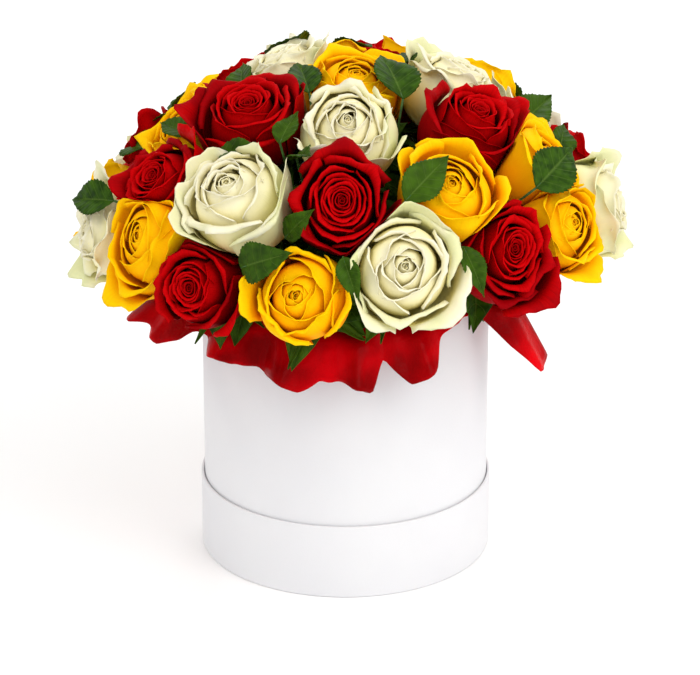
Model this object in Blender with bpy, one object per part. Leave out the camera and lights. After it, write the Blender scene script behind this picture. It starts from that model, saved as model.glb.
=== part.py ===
"""Round hat box filled with thirty-eight roses in three colours, with leaves and a red sheet.

Sizes are in millimetres until a mesh is made, then in metres. The front is -Y and up is +Z.
The origin is the middle of the underside of the lid that the box stands in.
"""

import math

import bmesh
import bpy
import numpy as np
from mathutils import Vector

MM = 0.001
FLAT_ANGLE = math.radians(0.4)
SMOOTH_ANGLE = math.radians(35)
SMOOTH_NODES = ("box_lid", "box_body", "film_cup")

# Start of an object's name: colour, roughness, metallic, alpha
LOOKS = {
    "box": ((0.88, 0.88, 0.89), 0.55, 0.0, 1.0),
    "film_cup": ((0.90, 0.92, 0.92), 0.15, 0.0, 0.4),
    "foam": ((0.05, 0.16, 0.07), 0.95, 0.0, 1.0),
    "red_sheet": ((0.62, 0.01, 0.02), 0.40, 0.0, 1.0),
    "greens": ((0.04, 0.15, 0.03), 0.50, 0.0, 1.0),
    "rose_red": ((0.52, 0.004, 0.010), 0.50, 0.0, 1.0),
    "rose_white": ((0.86, 0.84, 0.68), 0.55, 0.0, 1.0),
    "rose_yellow": ((0.93, 0.52, 0.01), 0.50, 0.0, 1.0),
}

# The card box and the lid worn under it
CARD = 2.0
BOX_OUTER = 99.0
BOX_FOOT = 2.4
BOX_TOP = 200.0
LID_OUTER = 101.5
LID_HEIGHT = 53.0
ROUND_SIDES = 40

# The film cup and the wet foam in it
FILM_OUTER = 96.6
FILM_THICK = 0.8
FILM_FOOT = 4.8
FILM_TOP = 190.0
FILM_SIDES = 36
FOAM_SIDES = 18
FOAM_PROFILE = ((0.0, 6.2), (93.4, 6.2), (93.4, 188.0), (86.0, 206.0), (58.0, 229.0), (0.0, 244.0))
HOLE_RADIUS = 3.5
HOLE_TIP = 2.2
HOLE_SIDES = 5
HOLE_ABOVE = 7.0
HOLE_BELOW = 4.0
HOLE_TIP_BELOW = 0.8

# The dome on which the faces of the roses lie
DOME_RADIUS = 181.0
DOME_RISE = 101.0
DOME_LEVEL = 254.0
HEAD_HEIGHT = 53.0
CENTRE_DEPTH = 24.0
GAP_BETWEEN_HEADS = 0.5
SOFT_SHARE = 0.78

# name, colour, azimuth and latitude of the face, azimuth and rise of the axis, radius
ROSES = (
    ("W5", "white", -71, 0, -80, 14, 36),
    ("Y5", "yellow", -50, 7, -47, 22, 38),
    ("R6", "red", -34, -3, -22, 22, 36),
    ("Y4", "yellow", -9, 0, -8, 28, 35),
    ("W3", "white", 13, 9, 8, 27, 39),
    ("R5", "red", 38, 8, 25, 25, 37),
    ("Y3", "yellow", 59, 9, 54, 26, 34),
    ("W4", "white", 77, 5, 84, 16, 38),
    ("A1", "yellow", 107, -9, 107, 18, 37),
    ("A2", "red", 133, -4, 133, 22, 37),
    ("A3", "white", 158, -3, 158, 22, 38),
    ("A4", "yellow", 183, -3, 183, 22, 37),
    ("A5", "red", 209, -3, 209, 22, 37),
    ("A6", "white", 236, -3, 236, 22, 38),
    ("A7", "yellow", 262, -6, 262, 18, 37),
    ("Y6", "yellow", 281, 46, 286, 44, 37),
    ("R2", "red", 306, 31, 315, 40, 36),
    ("W1", "white", -31, 33, -38, 48, 41),
    ("R3", "red", -1, 33, 0, 33, 38),
    ("Y1", "yellow", 29, 36, 18, 56, 37),
    ("Y2", "yellow", 67, 32, 82, 42, 36),
    ("R8", "red", 94, 15, 96, 24, 34),
    ("B1", "white", 120, 24, 120, 38, 36),
    ("B2", "yellow", 145, 28, 145, 41, 37),
    ("B3", "red", 170, 30, 170, 41, 38),
    ("B4", "white", 195, 29, 195, 41, 37),
    ("B5", "yellow", 220, 26, 220, 40, 37),
    ("B6", "red", 246, 18, 246, 36, 36),
    ("R1", "red", 311, 60, 335, 60, 40),
    ("W2", "white", 1, 60, 0, 47, 39),
    ("R4", "red", 56, 53, 44, 55, 40),
    ("W7", "white", 100, 63, 96, 62, 36),
    ("R7", "red", 148, 71, 148, 68, 36),
    ("C3", "yellow", 149, 53, 149, 56, 36),
    ("C1", "yellow", 187, 54, 187, 60, 37),
    ("C2", "red", 223, 50, 223, 56, 37),
    ("W6", "white", 244, 74, 262, 68, 37),
    ("Y7", "yellow", 20, 83, 20, 74, 36),
)

# Heads that stand out from the dome or lie deeper in it, along their axis
OUTWARD = {
    "W5": 3.0, "W4": 10.0, "Y3": 3.0, "Y6": -12.0, "C2": -12.0, "B5": -10.0, "B6": -18.0, "R8": -8.0,
    "B1": -14.0, "R7": -8.0, "C3": -7.0, "C1": -5.0,
}

# Stems that share one foot in the foam
GROUPS = (
    ("W5", "Y5"), ("R6", "Y4"), ("W3", "R5"), ("Y3", "W4"),
    ("A1", "A2"), ("A3", "A4"), ("A5", "A6", "A7"),
    ("Y6", "R2"), ("W1", "R3"), ("Y1", "Y2"), ("R8", "B1"),
    ("B2", "B3"), ("B4", "B5", "B6"),
    ("R1", "W2"), ("R4", "W7"), ("Y7", "R7", "C3"), ("W6", "C1", "C2"),
)

# Petals of a head: share of radius, share of height, layer, how strongly the petals show
HEAD_RINGS = (
    (0.18, 0.00, "plain", 0.0),
    (0.76, 0.25, "outer", 0.8),
    (1.00, 0.72, "outer", 1.0),
    (0.73, 0.60, "plain", 0.0),
    (0.69, 0.91, "second", 1.0),
    (0.47, 0.76, "plain", 0.0),
    (0.37, 0.99, "third", 1.0),
    (0.17, 0.85, "plain", 0.0),
)
HEAD_MIDDLE = 0.97
COLUMNS = 15
# For each column of a petal: turn in degrees, share out, share up
PETAL_OF_THREE = ((0.0, 0.05, 0.00), (6.0, 0.06, -0.04), (15.0, -0.08, 0.01))
PETAL_OF_FIVE = (
    (0.0, 0.07, -0.03), (2.0, 0.05, 0.00), (5.0, 0.01, 0.02), (7.0, -0.04, 0.00), (12.0, -0.08, -0.03),
)
PLAIN_TURN = 7.0

# Stems and sepals
STEM_RADIUS = 2.4
STEM_TIP = 1.3
STEM_SIDES = 5
HIP_TOP = -0.6
HIP_RADIUS = 6.2
HIP_FOOT = -5.0
HIP_NARROWING = 0.9
NECK = -11.0
SEPAL_REACH = 30.0
SEPAL_DROP = -7.0
ENTRY_LIFT = 5.5
FOOT_LEVEL = 150.0
FOOT_SHARE = 0.66
PAST_FOOT = 2.5

# The red sheet: azimuth, radius and height of its loose edge
SHEET_THICK = 0.9
SHEET_COLUMNS = 60
SHEET_INNER = ((94.3, 178.0), (94.9, 200.6), (102.0, 204.6))
SHEET_MIDDLE = (0.50, 0.26)
SHEET_EDGE = (
    (0, 128, 168), (8, 134, 164), (12, 122, 181), (20, 130, 166), (28, 128, 176), (38, 116, 196),
    (50, 108, 202), (56, 124, 190), (63, 142, 156), (71, 140, 154), (78, 128, 184), (88, 140, 172),
    (98, 128, 188),
    (108, 142, 168), (120, 132, 176), (128, 122, 190), (138, 140, 166), (148, 130, 182),
    (160, 142, 168), (170, 124, 188), (182, 136, 164), (194, 130, 180), (204, 142, 167),
    (216, 124, 188), (228, 140, 165), (240, 128, 184), (250, 142, 168), (262, 130, 188),
    (274, 144, 172), (284, 150, 176), (296, 140, 172), (306, 126, 182), (318, 130, 176),
    (332, 126, 172), (346, 132, 162), (352, 126, 170),
)

# Leaves: the three heads round the gap, whose stem carries it, heading and lean in degrees,
# length, width, how far it is lifted out of the gap, and how far it rears up past its lean
LEAVES = (
    ("Y6", "R1", "W6", "W6", -90, 30, 34, 22, 3, 0),
    ("R1", "R2", "Y6", "R2", -120, 30, 30, 20, 6, 0),
    ("W5", "Y5", "R2", "Y5", -110, 20, 42, 26, 15, 0),
    ("R1", "R2", "W1", "R1", 70, 10, 34, 18, 0, 10),
    ("R1", "W2", "Y7", "W2", -50, 10, 40, 24, 6, 10),
    ("R1", "W2", "W1", "W1", 0, 0, 28, 18, 3, 20),
    ("W1", "W2", "R3", "R3", 130, 40, 30, 18, 3, 10),
    ("W2", "R4", "Y7", "R4", 30, 10, 50, 34, 6, 10),
    ("R4", "W7", "R8", "W7", 110, 40, 50, 28, 0, 0),
    ("Y2", "R8", "W4", "Y2", 90, 40, 30, 20, 6, 0),
    ("W3", "R5", "Y1", "R5", 170, 10, 34, 18, 6, 0),
    ("R3", "Y1", "W3", "Y1", 50, 0, 44, 27, 12, 10),
    ("R5", "Y3", "Y2", "Y3", 70, 10, 50, 34, 18, 0),
    ("R6", "W1", "Y4", "R6", 70, 30, 44, 28, 12, 0),
    ("Y4", "W1", "R3", "Y4", 50, 40, 30, 18, 3, 0),
    ("R3", "Y4", "W3", "W3", 160, 10, 30, 16, 9, 0),
    ("W7", "R7", "Y7", "R7", -170, 20, 30, 18, 9, 0),
    ("C3", "B1", "B2", "C3", -60, 10, 42, 28, 6, 20),
    ("C1", "B3", "B4", "C1", -40, 10, 40, 26, 12, 0),
    ("C1", "C2", "W6", "C2", 20, 30, 40, 26, 6, 0),
    ("C2", "B4", "B5", "B4", -60, 10, 40, 26, 15, 0),
    ("C2", "B6", "Y6", "B6", 180, 10, 38, 26, 3, 20),
    ("A2", "B1", "B2", "A2", 60, 5, 38, 24, 18, 0),
    ("A3", "B2", "B3", "A3", -60, 5, 42, 28, 18, 0),
    ("A4", "B3", "B4", "A4", 50, 5, 42, 26, 9, 20),
    ("A6", "B5", "B6", "A6", -60, 10, 36, 22, 12, 10),
    ("A7", "B6", "Y6", "A7", -120, 10, 38, 26, 9, 10),
)
LEAF_THICK = 0.8
LEAF_STATIONS = (
    (0.0, 0.14), (0.18, 0.86), (0.28, 0.72), (0.50, 1.0), (0.62, 0.72), (1.0, 0.05),
)
LEAF_FOLD = 26.0
LEAF_DROOP = 0.16
LEAF_DEPTH = 12.0
PETIOLE_HALF = 1.3
PETIOLE_DEPTH = 46.0
PETIOLE_JOINT = 0.45
PETIOLE_RISE = 12.0


def unit(vector):
    return vector / np.linalg.norm(vector)


def direction(azimuth, rise):
    """Azimuth 0 is the front and grows to the right as seen from the front."""
    turn = math.radians(azimuth)
    tilt = math.radians(rise)
    return np.array([
        math.sin(turn) * math.cos(tilt),
        -math.cos(turn) * math.cos(tilt),
        math.sin(tilt),
    ])


def dome_point(azimuth, latitude):
    point = DOME_RADIUS * math.cos(math.radians(latitude)) * direction(azimuth, 0)
    point[2] = DOME_LEVEL + DOME_RISE * math.sin(math.radians(latitude))
    return point


class Rose:
    """One head: where its face is, which way it looks and the planes that bound its room."""

    def __init__(self, row, seed):
        self.name, self.colour, azimuth, self.latitude, turn, rise, self.radius = row
        self.seed = seed
        self.axis = direction(turn, rise)
        self.up = direction(turn, rise + 90)
        self.side = np.cross(self.up, self.axis)
        self.face = dome_point(azimuth, self.latitude) + OUTWARD.get(self.name, 0.0) * self.axis
        self.base = self.face - HEAD_HEIGHT * self.axis
        self.centre = self.face - CENTRE_DEPTH * self.axis
        self.planes = []

    def meet(self, other):
        """Adds the plane that parts this head from another one."""
        away = other.centre - self.centre
        distance = np.linalg.norm(away)
        shift = (self.radius ** 2 - other.radius ** 2) / (2 * distance)
        normal = away / distance
        offset = normal @ self.centre + distance / 2 + shift
        self.planes.append((normal, offset - GAP_BETWEEN_HEADS / 2))

    def place(self, reach, turn, height):
        """A point at a reach, turn and height about the axis, drawn in to stay in its room."""
        spoke = math.cos(turn) * self.side + math.sin(turn) * self.up
        start = self.base + height * self.axis
        room = 1000.0
        for normal, offset in self.planes:
            slope = normal @ spoke
            if slope > 1e-6:
                room = min(room, (offset - normal @ start) / slope)
        return start + soft_limit(reach, room) * spoke


def soft_limit(reach, room):
    knee = SOFT_SHARE * room
    if reach <= knee:
        return reach
    rest = room - knee
    return knee + rest * (1 - math.exp((knee - reach) / rest))


def make_roses():
    roses = {}
    for seed, row in enumerate(ROSES):
        roses[row[0]] = Rose(row, seed)
    for rose in roses.values():
        for other in roses.values():
            if other is not rose:
                rose.meet(other)
    return roses


def make_object(name, points, faces, collection=None, origin=(0.0, 0.0, 0.0)):
    """A closed mesh from points in millimetres about an origin, its faces split and turned outward."""
    mesh = bpy.data.meshes.new(name)
    bm = bmesh.new()
    start = Vector(origin)
    verts = [bm.verts.new((Vector(point) - start) * MM) for point in points]
    for face in faces:
        bm.faces.new([verts[index] for index in face])
    bmesh.ops.recalc_face_normals(bm, faces=bm.faces)
    bmesh.ops.triangulate(bm, faces=bm.faces)
    bm.to_mesh(mesh)
    bm.free()
    made = bpy.data.objects.new(name, mesh)
    made.location = start * MM
    (collection or bpy.context.scene.collection).objects.link(made)
    return made


def rings_to_faces(count, sides, first=0, split=False):
    """Faces between rings of equal size, the points of a ring one after another."""
    faces = []
    for ring in range(count - 1):
        low = first + ring * sides
        high = low + sides
        for side in range(sides):
            after = (side + 1) % sides
            a, b, c, d = low + side, low + after, high + after, high + side
            if split:
                faces += [(a, b, c), (a, c, d)]
            else:
                faces.append((a, b, c, d))
    return faces


def lathe(name, profile, sides):
    """A turned body. A profile point on the axis becomes one point, others a ring."""
    points = []
    faces = []
    starts = []
    for radius, height in profile:
        starts.append((len(points), radius == 0.0))
        count = 1 if radius == 0.0 else sides
        for side in range(count):
            turn = 2 * math.pi * side / sides
            points.append((radius * math.sin(turn), -radius * math.cos(turn), height))
    pairs = list(zip(starts, starts[1:]))
    closed = not starts[0][1]
    if closed:
        pairs.append((starts[-1], starts[0]))
    for (low, low_point), (high, high_point) in pairs:
        for side in range(sides):
            after = (side + 1) % sides
            if low_point:
                faces.append((low, high + side, high + after))
            elif high_point:
                faces.append((low + side, low + after, high))
            else:
                faces.append((low + side, low + after, high + after, high + side))
    return make_object(name, points, faces)


def cup_profile(outer, foot, top, wall):
    return (
        (0.0, foot), (outer, foot), (outer, top), (outer - wall, top), (outer - wall, foot + wall),
        (0.0, foot + wall),
    )


def petal_pattern(layer, column):
    if layer == "outer":
        return PETAL_OF_THREE[column % 3]
    if layer == "second":
        return PETAL_OF_THREE[(column + 1) % 3]
    if layer == "third":
        return PETAL_OF_FIVE[column % 5]
    return (PLAIN_TURN, 0.0, 0.0)


def head_points(rose):
    """Rings of petal tips and folds from the hip to the middle of the flower."""
    chance = np.random.default_rng(rose.seed)
    start_turn = chance.uniform(0, 2 * math.pi)
    opening = chance.uniform(-0.03, 0.03)
    petal_out = chance.uniform(-0.03, 0.05, 5)
    petal_up = chance.uniform(-0.05, 0.03, 5)
    points = []
    for share_out, share_up, layer, strength in HEAD_RINGS:
        for column in range(COLUMNS):
            turn, out, up = petal_pattern(layer, column)
            petal = column // 3
            if layer == "outer":
                out += petal_out[petal]
                up += petal_up[petal]
            if layer == "second":
                out += opening
            angle = start_turn + math.radians(360 / COLUMNS * column + turn)
            reach = rose.radius * (share_out + strength * out)
            height = HEAD_HEIGHT * (share_up + strength * up)
            points.append(rose.place(reach, angle, height))
    points.append(rose.base + HEAD_HEIGHT * HEAD_MIDDLE * rose.axis)
    return points


def make_head(rose, name):
    points = head_points(rose)
    rings = len(HEAD_RINGS)
    faces = rings_to_faces(rings, COLUMNS, split=True)
    faces.append(tuple(range(COLUMNS)))
    top = (rings - 1) * COLUMNS
    middle = len(points) - 1
    for column in range(COLUMNS):
        faces.append((top + column, top + (column + 1) % COLUMNS, middle))
    return make_object(name, points, faces, origin=rose.base)


def cross_frame(along):
    side = unit(np.cross(along, (0.31, 0.22, 0.93)))
    return side, np.cross(along, side)


def tube(name, path, radii, sides, collection):
    """A tube along a path with a radius at each point, its ends closed by one face each."""
    path = [np.asarray(point, float) for point in path]
    points = []
    side, up = cross_frame(unit(path[-1] - path[0]))
    for index, point in enumerate(path):
        before = path[max(index - 1, 0)]
        after = path[min(index + 1, len(path) - 1)]
        along = unit(after - before)
        side = unit(side - (side @ along) * along)
        up = np.cross(along, side)
        for step in range(sides):
            turn = 2 * math.pi * step / sides
            points.append(point + radii[index] * (math.cos(turn) * side + math.sin(turn) * up))
    faces = rings_to_faces(len(path), sides)
    faces.append(tuple(range(sides)))
    last = (len(path) - 1) * sides
    faces.append(tuple(range(last, last + sides)))
    return make_object(name, points, faces, collection)


def foam_height(radius):
    """Height of the foam's top at a distance from its axis."""
    rim = [row for row in FOAM_PROFILE if row[1] > FOAM_PROFILE[1][1]]
    reach = [row[0] for row in reversed(rim)]
    level = [row[1] for row in reversed(rim)]
    return float(np.interp(radius, reach, level))


def entry_point(rose):
    """Where the stem of a rose goes into the foam."""
    share = np.interp(rose.latitude, (0, 33, 61, 90), (0.455, 0.35, 0.30, 0.0))
    flat = np.array([rose.face[0], rose.face[1]]) * share
    radius = np.linalg.norm(flat)
    return np.array([flat[0], flat[1], foam_height(radius) + ENTRY_LIFT])


def foot_point(roses, group):
    mean = np.mean([entry_point(roses[name]) for name in group], axis=0)
    return np.array([mean[0] * FOOT_SHARE, mean[1] * FOOT_SHARE, FOOT_LEVEL])


def stem_path(rose, foot):
    entry = entry_point(rose)
    neck = rose.base + NECK * rose.axis
    return [neck, entry, foot]


def sepal_star(rose):
    """Points and faces of the hip under a head, with its five pointed sepals."""
    points = []
    for height, radius in ((HIP_TOP, HIP_RADIUS), (HIP_FOOT, HIP_RADIUS * HIP_NARROWING)):
        for step in range(STEM_SIDES):
            points.append(rose.place(radius, 2 * math.pi * step / STEM_SIDES, height))
    for step in range(STEM_SIDES):
        turn = 2 * math.pi * (step + 0.5) / STEM_SIDES
        points.append(rose.place(SEPAL_REACH, turn, SEPAL_DROP))
    faces = [tuple(range(STEM_SIDES))]
    for step in range(STEM_SIDES):
        after = (step + 1) % STEM_SIDES
        tip = 2 * STEM_SIDES + step
        low = STEM_SIDES + step
        low_after = STEM_SIDES + after
        faces += [(step, after, tip), (after, low_after, tip), (low_after, low, tip), (low, step, tip)]
    return points, faces


def stem_rings(rose, foot, leads):
    """Three rings of points down a stem. One that doesn't lead ends thin, inside the leading one."""
    neck, entry, end = stem_path(rose, foot)
    along = unit(end - neck)
    across = unit(rose.side - (rose.side @ along) * along)
    rise = np.cross(along, across)
    if rise @ rose.up < 0:
        rise = -rise
    if leads:
        end = end + PAST_FOOT * unit(end - entry)
    rings = (
        (neck, rose.side, rose.up, STEM_RADIUS),
        (entry, across, rise, STEM_RADIUS),
        (end, across, rise, STEM_RADIUS if leads else STEM_TIP),
    )
    points = []
    for spot, side, up, radius in rings:
        for step in range(STEM_SIDES):
            turn = 2 * math.pi * step / STEM_SIDES
            points.append(spot + radius * (math.cos(turn) * side + math.sin(turn) * up))
    return points


def make_stem(rose, foot, leads, collection):
    """A hip with five sepals and the stem below it, as one closed body."""
    points, faces = sepal_star(rose)
    first = len(points)
    points += stem_rings(rose, foot, leads)
    for step in range(STEM_SIDES):
        after = (step + 1) % STEM_SIDES
        faces.append((STEM_SIDES + step, STEM_SIDES + after, first + after, first + step))
    faces += rings_to_faces(3, STEM_SIDES, first)
    faces.append(tuple(range(first + 2 * STEM_SIDES, first + 3 * STEM_SIDES)))
    return make_object("stem", points, faces, collection)


def apply_boolean(target, collection, operation, solver):
    """Applies a Boolean with a collection, then joins flat neighbours and splits into triangles."""
    modifier = target.modifiers.new("join", "BOOLEAN")
    modifier.operation = operation
    modifier.operand_type = "COLLECTION"
    modifier.collection = collection
    modifier.solver = solver
    depsgraph = bpy.context.evaluated_depsgraph_get()
    mesh = bpy.data.meshes.new_from_object(target.evaluated_get(depsgraph))
    target.modifiers.clear()
    target.data = mesh
    bm = bmesh.new()
    bm.from_mesh(mesh)
    bmesh.ops.dissolve_limit(bm, angle_limit=FLAT_ANGLE, verts=bm.verts, edges=bm.edges)
    bmesh.ops.triangulate(bm, faces=bm.faces)
    bm.to_mesh(mesh)
    bm.free()


def remove_collection(collection):
    for item in list(collection.objects):
        bpy.data.objects.remove(item)
    bpy.data.collections.remove(collection)


def new_collection(name):
    collection = bpy.data.collections.new(name)
    bpy.context.scene.collection.children.link(collection)
    return collection


def make_foam(roses):
    """The foam with a plain hole for every stem."""
    foam = lathe("foam", FOAM_PROFILE, FOAM_SIDES)
    holes = new_collection("holes")
    for group in GROUPS:
        foot = foot_point(roses, group)
        for name in group:
            entry, end = stem_path(roses[name], foot)[1:]
            along = unit(end - entry)
            leads = name == group[0]
            above = entry - HOLE_ABOVE * along
            below = end + (HOLE_BELOW if leads else HOLE_TIP_BELOW) * along
            radii = (HOLE_RADIUS, HOLE_RADIUS if leads else HOLE_TIP)
            tube("hole", [above, below], radii, HOLE_SIDES, holes)
    apply_boolean(foam, holes, "DIFFERENCE", "EXACT")
    remove_collection(holes)
    return foam


def gap_line(roses, names):
    """A point and the outward direction of the line where three heads' rooms meet."""
    first = roses[names[0]]
    normals = []
    offsets = []
    for other in (roses[names[1]], roses[names[2]]):
        away = other.centre - first.centre
        distance = np.linalg.norm(away)
        shift = (first.radius ** 2 - other.radius ** 2) / (2 * distance)
        normals.append(away / distance)
        offsets.append(normals[-1] @ first.centre + distance / 2 + shift)
    along = unit(np.cross(normals[0], normals[1]))
    outward = np.mean([roses[name].axis for name in names], axis=0)
    if along @ outward < 0:
        along = -along
    level = np.mean([roses[name].face for name in names], axis=0) @ along
    point = np.linalg.solve(np.array([normals[0], normals[1], along]), np.array(offsets + [level]))
    return point, along


def section_frame(forward, hint, spare):
    """Side and back vectors square to a direction, from a hint or, where that fails, a spare."""
    if abs(hint @ forward) > 0.85:
        hint = spare
    back = unit(hint - (hint @ forward) * forward)
    return np.cross(forward, back), back


def leaf_spine(roses, row):
    """Points, side vectors, up vectors and half sizes of a leaf's cross-sections."""
    first, second, third, host_name, heading, lean, length, width, lift, rear = row
    point, along = gap_line(roses, (first, second, third))
    host = roses[host_name]
    dome_up = unit(np.array([0, 0, 1.0]) - along[2] * along)
    dome_side = np.cross(dome_up, along)
    turn = math.radians(heading)
    flat = math.cos(turn) * dome_up + math.sin(turn) * dome_side
    tilt = math.radians(lean + rear)
    forward = math.cos(tilt) * flat + math.sin(tilt) * along
    upward = math.cos(tilt) * along - math.sin(tilt) * flat
    side = np.cross(forward, upward)
    start = point + (lift - LEAF_DEPTH) * along
    neck = host.base + NECK * host.axis
    joint = neck + PETIOLE_JOINT * (entry_point(host) - neck)
    depth = min(PETIOLE_DEPTH, (point - joint) @ along - PETIOLE_RISE)
    inner = point - depth * along
    rising = unit(inner - joint)
    stations = []
    for spot, onward in ((joint, rising), (inner, unit(rising + along))):
        across, back = section_frame(onward, -flat, along)
        stations.append((spot, across, back, PETIOLE_HALF, PETIOLE_HALF, 0.0))
    for share, broad in LEAF_STATIONS:
        drop = LEAF_DROOP * length * share ** 2
        spot = start + forward * length * share - upward * drop
        half = max(width / 2 * broad, LEAF_THICK)
        stations.append((spot, side, upward, half, LEAF_THICK / 2, LEAF_FOLD))
    return stations


def make_leaf(roses, row, collection):
    """A leaf folded along its midrib, and the stalk that joins it to its stem."""
    points = []
    for spot, side, upward, half, thick, fold in leaf_spine(roses, row):
        raise_edge = half * math.tan(math.radians(fold))
        for level in (thick, -thick):
            left = spot - half * side + (raise_edge + level) * upward
            middle = spot + level * upward
            right = spot + half * side + (raise_edge + level) * upward
            points += [left, middle, right] if level > 0 else [right, middle, left]
    count = len(points) // 6
    faces = rings_to_faces(count, 6, split=True)
    for low in (0, (count - 1) * 6):
        faces.append((low, low + 1, low + 4, low + 5))
        faces.append((low + 1, low + 2, low + 3, low + 4))
    return make_object("leaf", points, faces, collection)


def make_greens(roses):
    """Stems, sepals and leaves of each group, joined into one body."""
    for number, group in enumerate(GROUPS, 1):
        parts = new_collection("parts")
        foot = foot_point(roses, group)
        stems = [make_stem(roses[name], foot, name == group[0], parts) for name in group]
        for row in LEAVES:
            if row[3] in group:
                make_leaf(roses, row, parts)
        first = stems[0]
        parts.objects.unlink(first)
        bpy.context.scene.collection.objects.link(first)
        first.name = f"greens_{number:02d}"
        apply_boolean(first, parts, "UNION", "MANIFOLD")
        remove_collection(parts)


def sheet_points(columns):
    """Middle surface of the red sheet, from its tucked edge to its loose edge."""
    azimuths = [row[0] for row in SHEET_EDGE]
    rings = []
    for column in range(columns):
        azimuth = 360 * column / columns
        radius = np.interp(azimuth, azimuths, [row[1] for row in SHEET_EDGE], period=360)
        height = np.interp(azimuth, azimuths, [row[2] for row in SHEET_EDGE], period=360)
        crest, top = SHEET_INNER[-1]
        out, down = SHEET_MIDDLE
        middle = (crest + out * (radius - crest), top + down * (height - top))
        rings.append([*SHEET_INNER, middle, (radius, height)])
    grid = np.zeros((len(rings[0]), columns, 3))
    for column, profile in enumerate(rings):
        spoke = direction(360 * column / columns, 0)
        for row, (radius, height) in enumerate(profile):
            grid[row, column] = radius * spoke
            grid[row, column, 2] = height
    return grid


def sheet_normals(grid):
    """Unit normals of the grid, from the differences along its rows and round it."""
    down = np.gradient(grid, axis=0)
    around = np.roll(grid, -1, axis=1) - np.roll(grid, 1, axis=1)
    normals = np.cross(around, down)
    return normals / np.linalg.norm(normals, axis=2, keepdims=True)


def make_sheet():
    grid = sheet_points(SHEET_COLUMNS)
    normals = sheet_normals(grid)
    half = SHEET_THICK / 2
    outer = [tuple(point) for ring in grid + half * normals for point in ring]
    inner = [tuple(point) for ring in grid - half * normals for point in ring]
    rows = len(grid)
    count = len(outer)
    faces = rings_to_faces(rows, SHEET_COLUMNS, split=True)
    faces += [tuple(reversed(face)) for face in rings_to_faces(rows, SHEET_COLUMNS, count, split=True)]
    for low in (0, (rows - 1) * SHEET_COLUMNS):
        for side in range(SHEET_COLUMNS):
            after = (side + 1) % SHEET_COLUMNS
            faces.append((low + side, low + after, count + low + after, count + low + side))
    return make_object("red_sheet", outer + inner, faces)


def make_material(name, look):
    colour, roughness, metallic, alpha = look
    material = bpy.data.materials.new(name)
    material.use_nodes = True
    shader = material.node_tree.nodes["Principled BSDF"]
    shader.inputs["Base Color"].default_value = (*colour, 1.0)
    shader.inputs["Roughness"].default_value = roughness
    shader.inputs["Metallic"].default_value = metallic
    shader.inputs["Alpha"].default_value = alpha
    return material


def finish_objects():
    """Gives every object its material and parents it to one empty at the origin."""
    holder = bpy.data.objects.new("arrangement", None)
    bpy.context.scene.collection.objects.link(holder)
    materials = {start: make_material(start, look) for start, look in LOOKS.items()}
    for item in bpy.data.objects:
        if item.type != "MESH":
            continue
        start = next(start for start in LOOKS if item.name.startswith(start))
        item.data.materials.clear()
        item.data.materials.append(materials[start])
        item.parent = holder
        if item.name in SMOOTH_NODES:
            item.data.shade_smooth()
            item.data.set_sharp_from_angle(angle=SMOOTH_ANGLE)


def main():
    for item in list(bpy.data.objects):
        bpy.data.objects.remove(item)
    roses = make_roses()
    lathe("box_lid", cup_profile(LID_OUTER, 0.0, LID_HEIGHT, CARD), ROUND_SIDES)
    lathe("box_body", cup_profile(BOX_OUTER, BOX_FOOT, BOX_TOP, CARD), ROUND_SIDES)
    lathe("film_cup", cup_profile(FILM_OUTER, FILM_FOOT, FILM_TOP, FILM_THICK), FILM_SIDES)
    make_foam(roses)
    make_sheet()
    counts = {}
    for rose in roses.values():
        counts[rose.colour] = counts.get(rose.colour, 0) + 1
        make_head(rose, f"rose_{rose.colour}_{counts[rose.colour]:02d}")
    make_greens(roses)
    finish_objects()


main()
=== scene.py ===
# %% [markdown]
# # A round box of roses
# A white hat box stands in its own lid and holds a dome of red, yellow and white roses with
# leaves, over a red sheet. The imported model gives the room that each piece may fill. This lesson
# replaces its coarse heads, leaves and sheet with fine ones, and gives every surface its finish.

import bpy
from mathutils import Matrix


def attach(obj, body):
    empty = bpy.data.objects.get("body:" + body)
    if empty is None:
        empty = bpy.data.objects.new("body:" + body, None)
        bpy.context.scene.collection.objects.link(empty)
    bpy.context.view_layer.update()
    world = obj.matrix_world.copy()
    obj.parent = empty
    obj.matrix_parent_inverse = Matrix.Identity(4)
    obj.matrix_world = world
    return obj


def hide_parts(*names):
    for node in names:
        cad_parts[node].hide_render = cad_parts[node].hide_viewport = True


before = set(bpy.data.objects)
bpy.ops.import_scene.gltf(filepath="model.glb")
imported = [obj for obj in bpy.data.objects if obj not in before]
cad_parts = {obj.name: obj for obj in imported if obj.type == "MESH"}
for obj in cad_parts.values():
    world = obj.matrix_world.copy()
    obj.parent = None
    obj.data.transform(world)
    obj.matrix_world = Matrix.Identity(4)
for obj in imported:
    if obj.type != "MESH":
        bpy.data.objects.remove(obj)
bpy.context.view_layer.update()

# %% Modules and units
import math
from collections import namedtuple
from itertools import permutations

import bmesh
import bpy
import numpy as np
from mathutils import Vector
from mathutils.bvhtree import BVHTree

MM = 0.001
MERGE_DISTANCE = 0.001 * MM
scene = bpy.context.scene
print("Blender", bpy.app.version_string, "counts in metres, the sizes below are in mm")

# %% [markdown]
# ## The camera
# The photograph was taken from a little above, with a long lens, so the box hardly narrows
# towards its foot. A short lens close by would swell the nearest heads. The place, tilt and lens
# were found from the ellipses of the box. The camera comes first.

# %% Camera
CAMERA_PLACE = (3.1 * MM, -2030 * MM, 978.2 * MM)
CAMERA_TILT = 22.19
CAMERA_LENS = 162.5
CAMERA_SENSOR = 36.0

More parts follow.
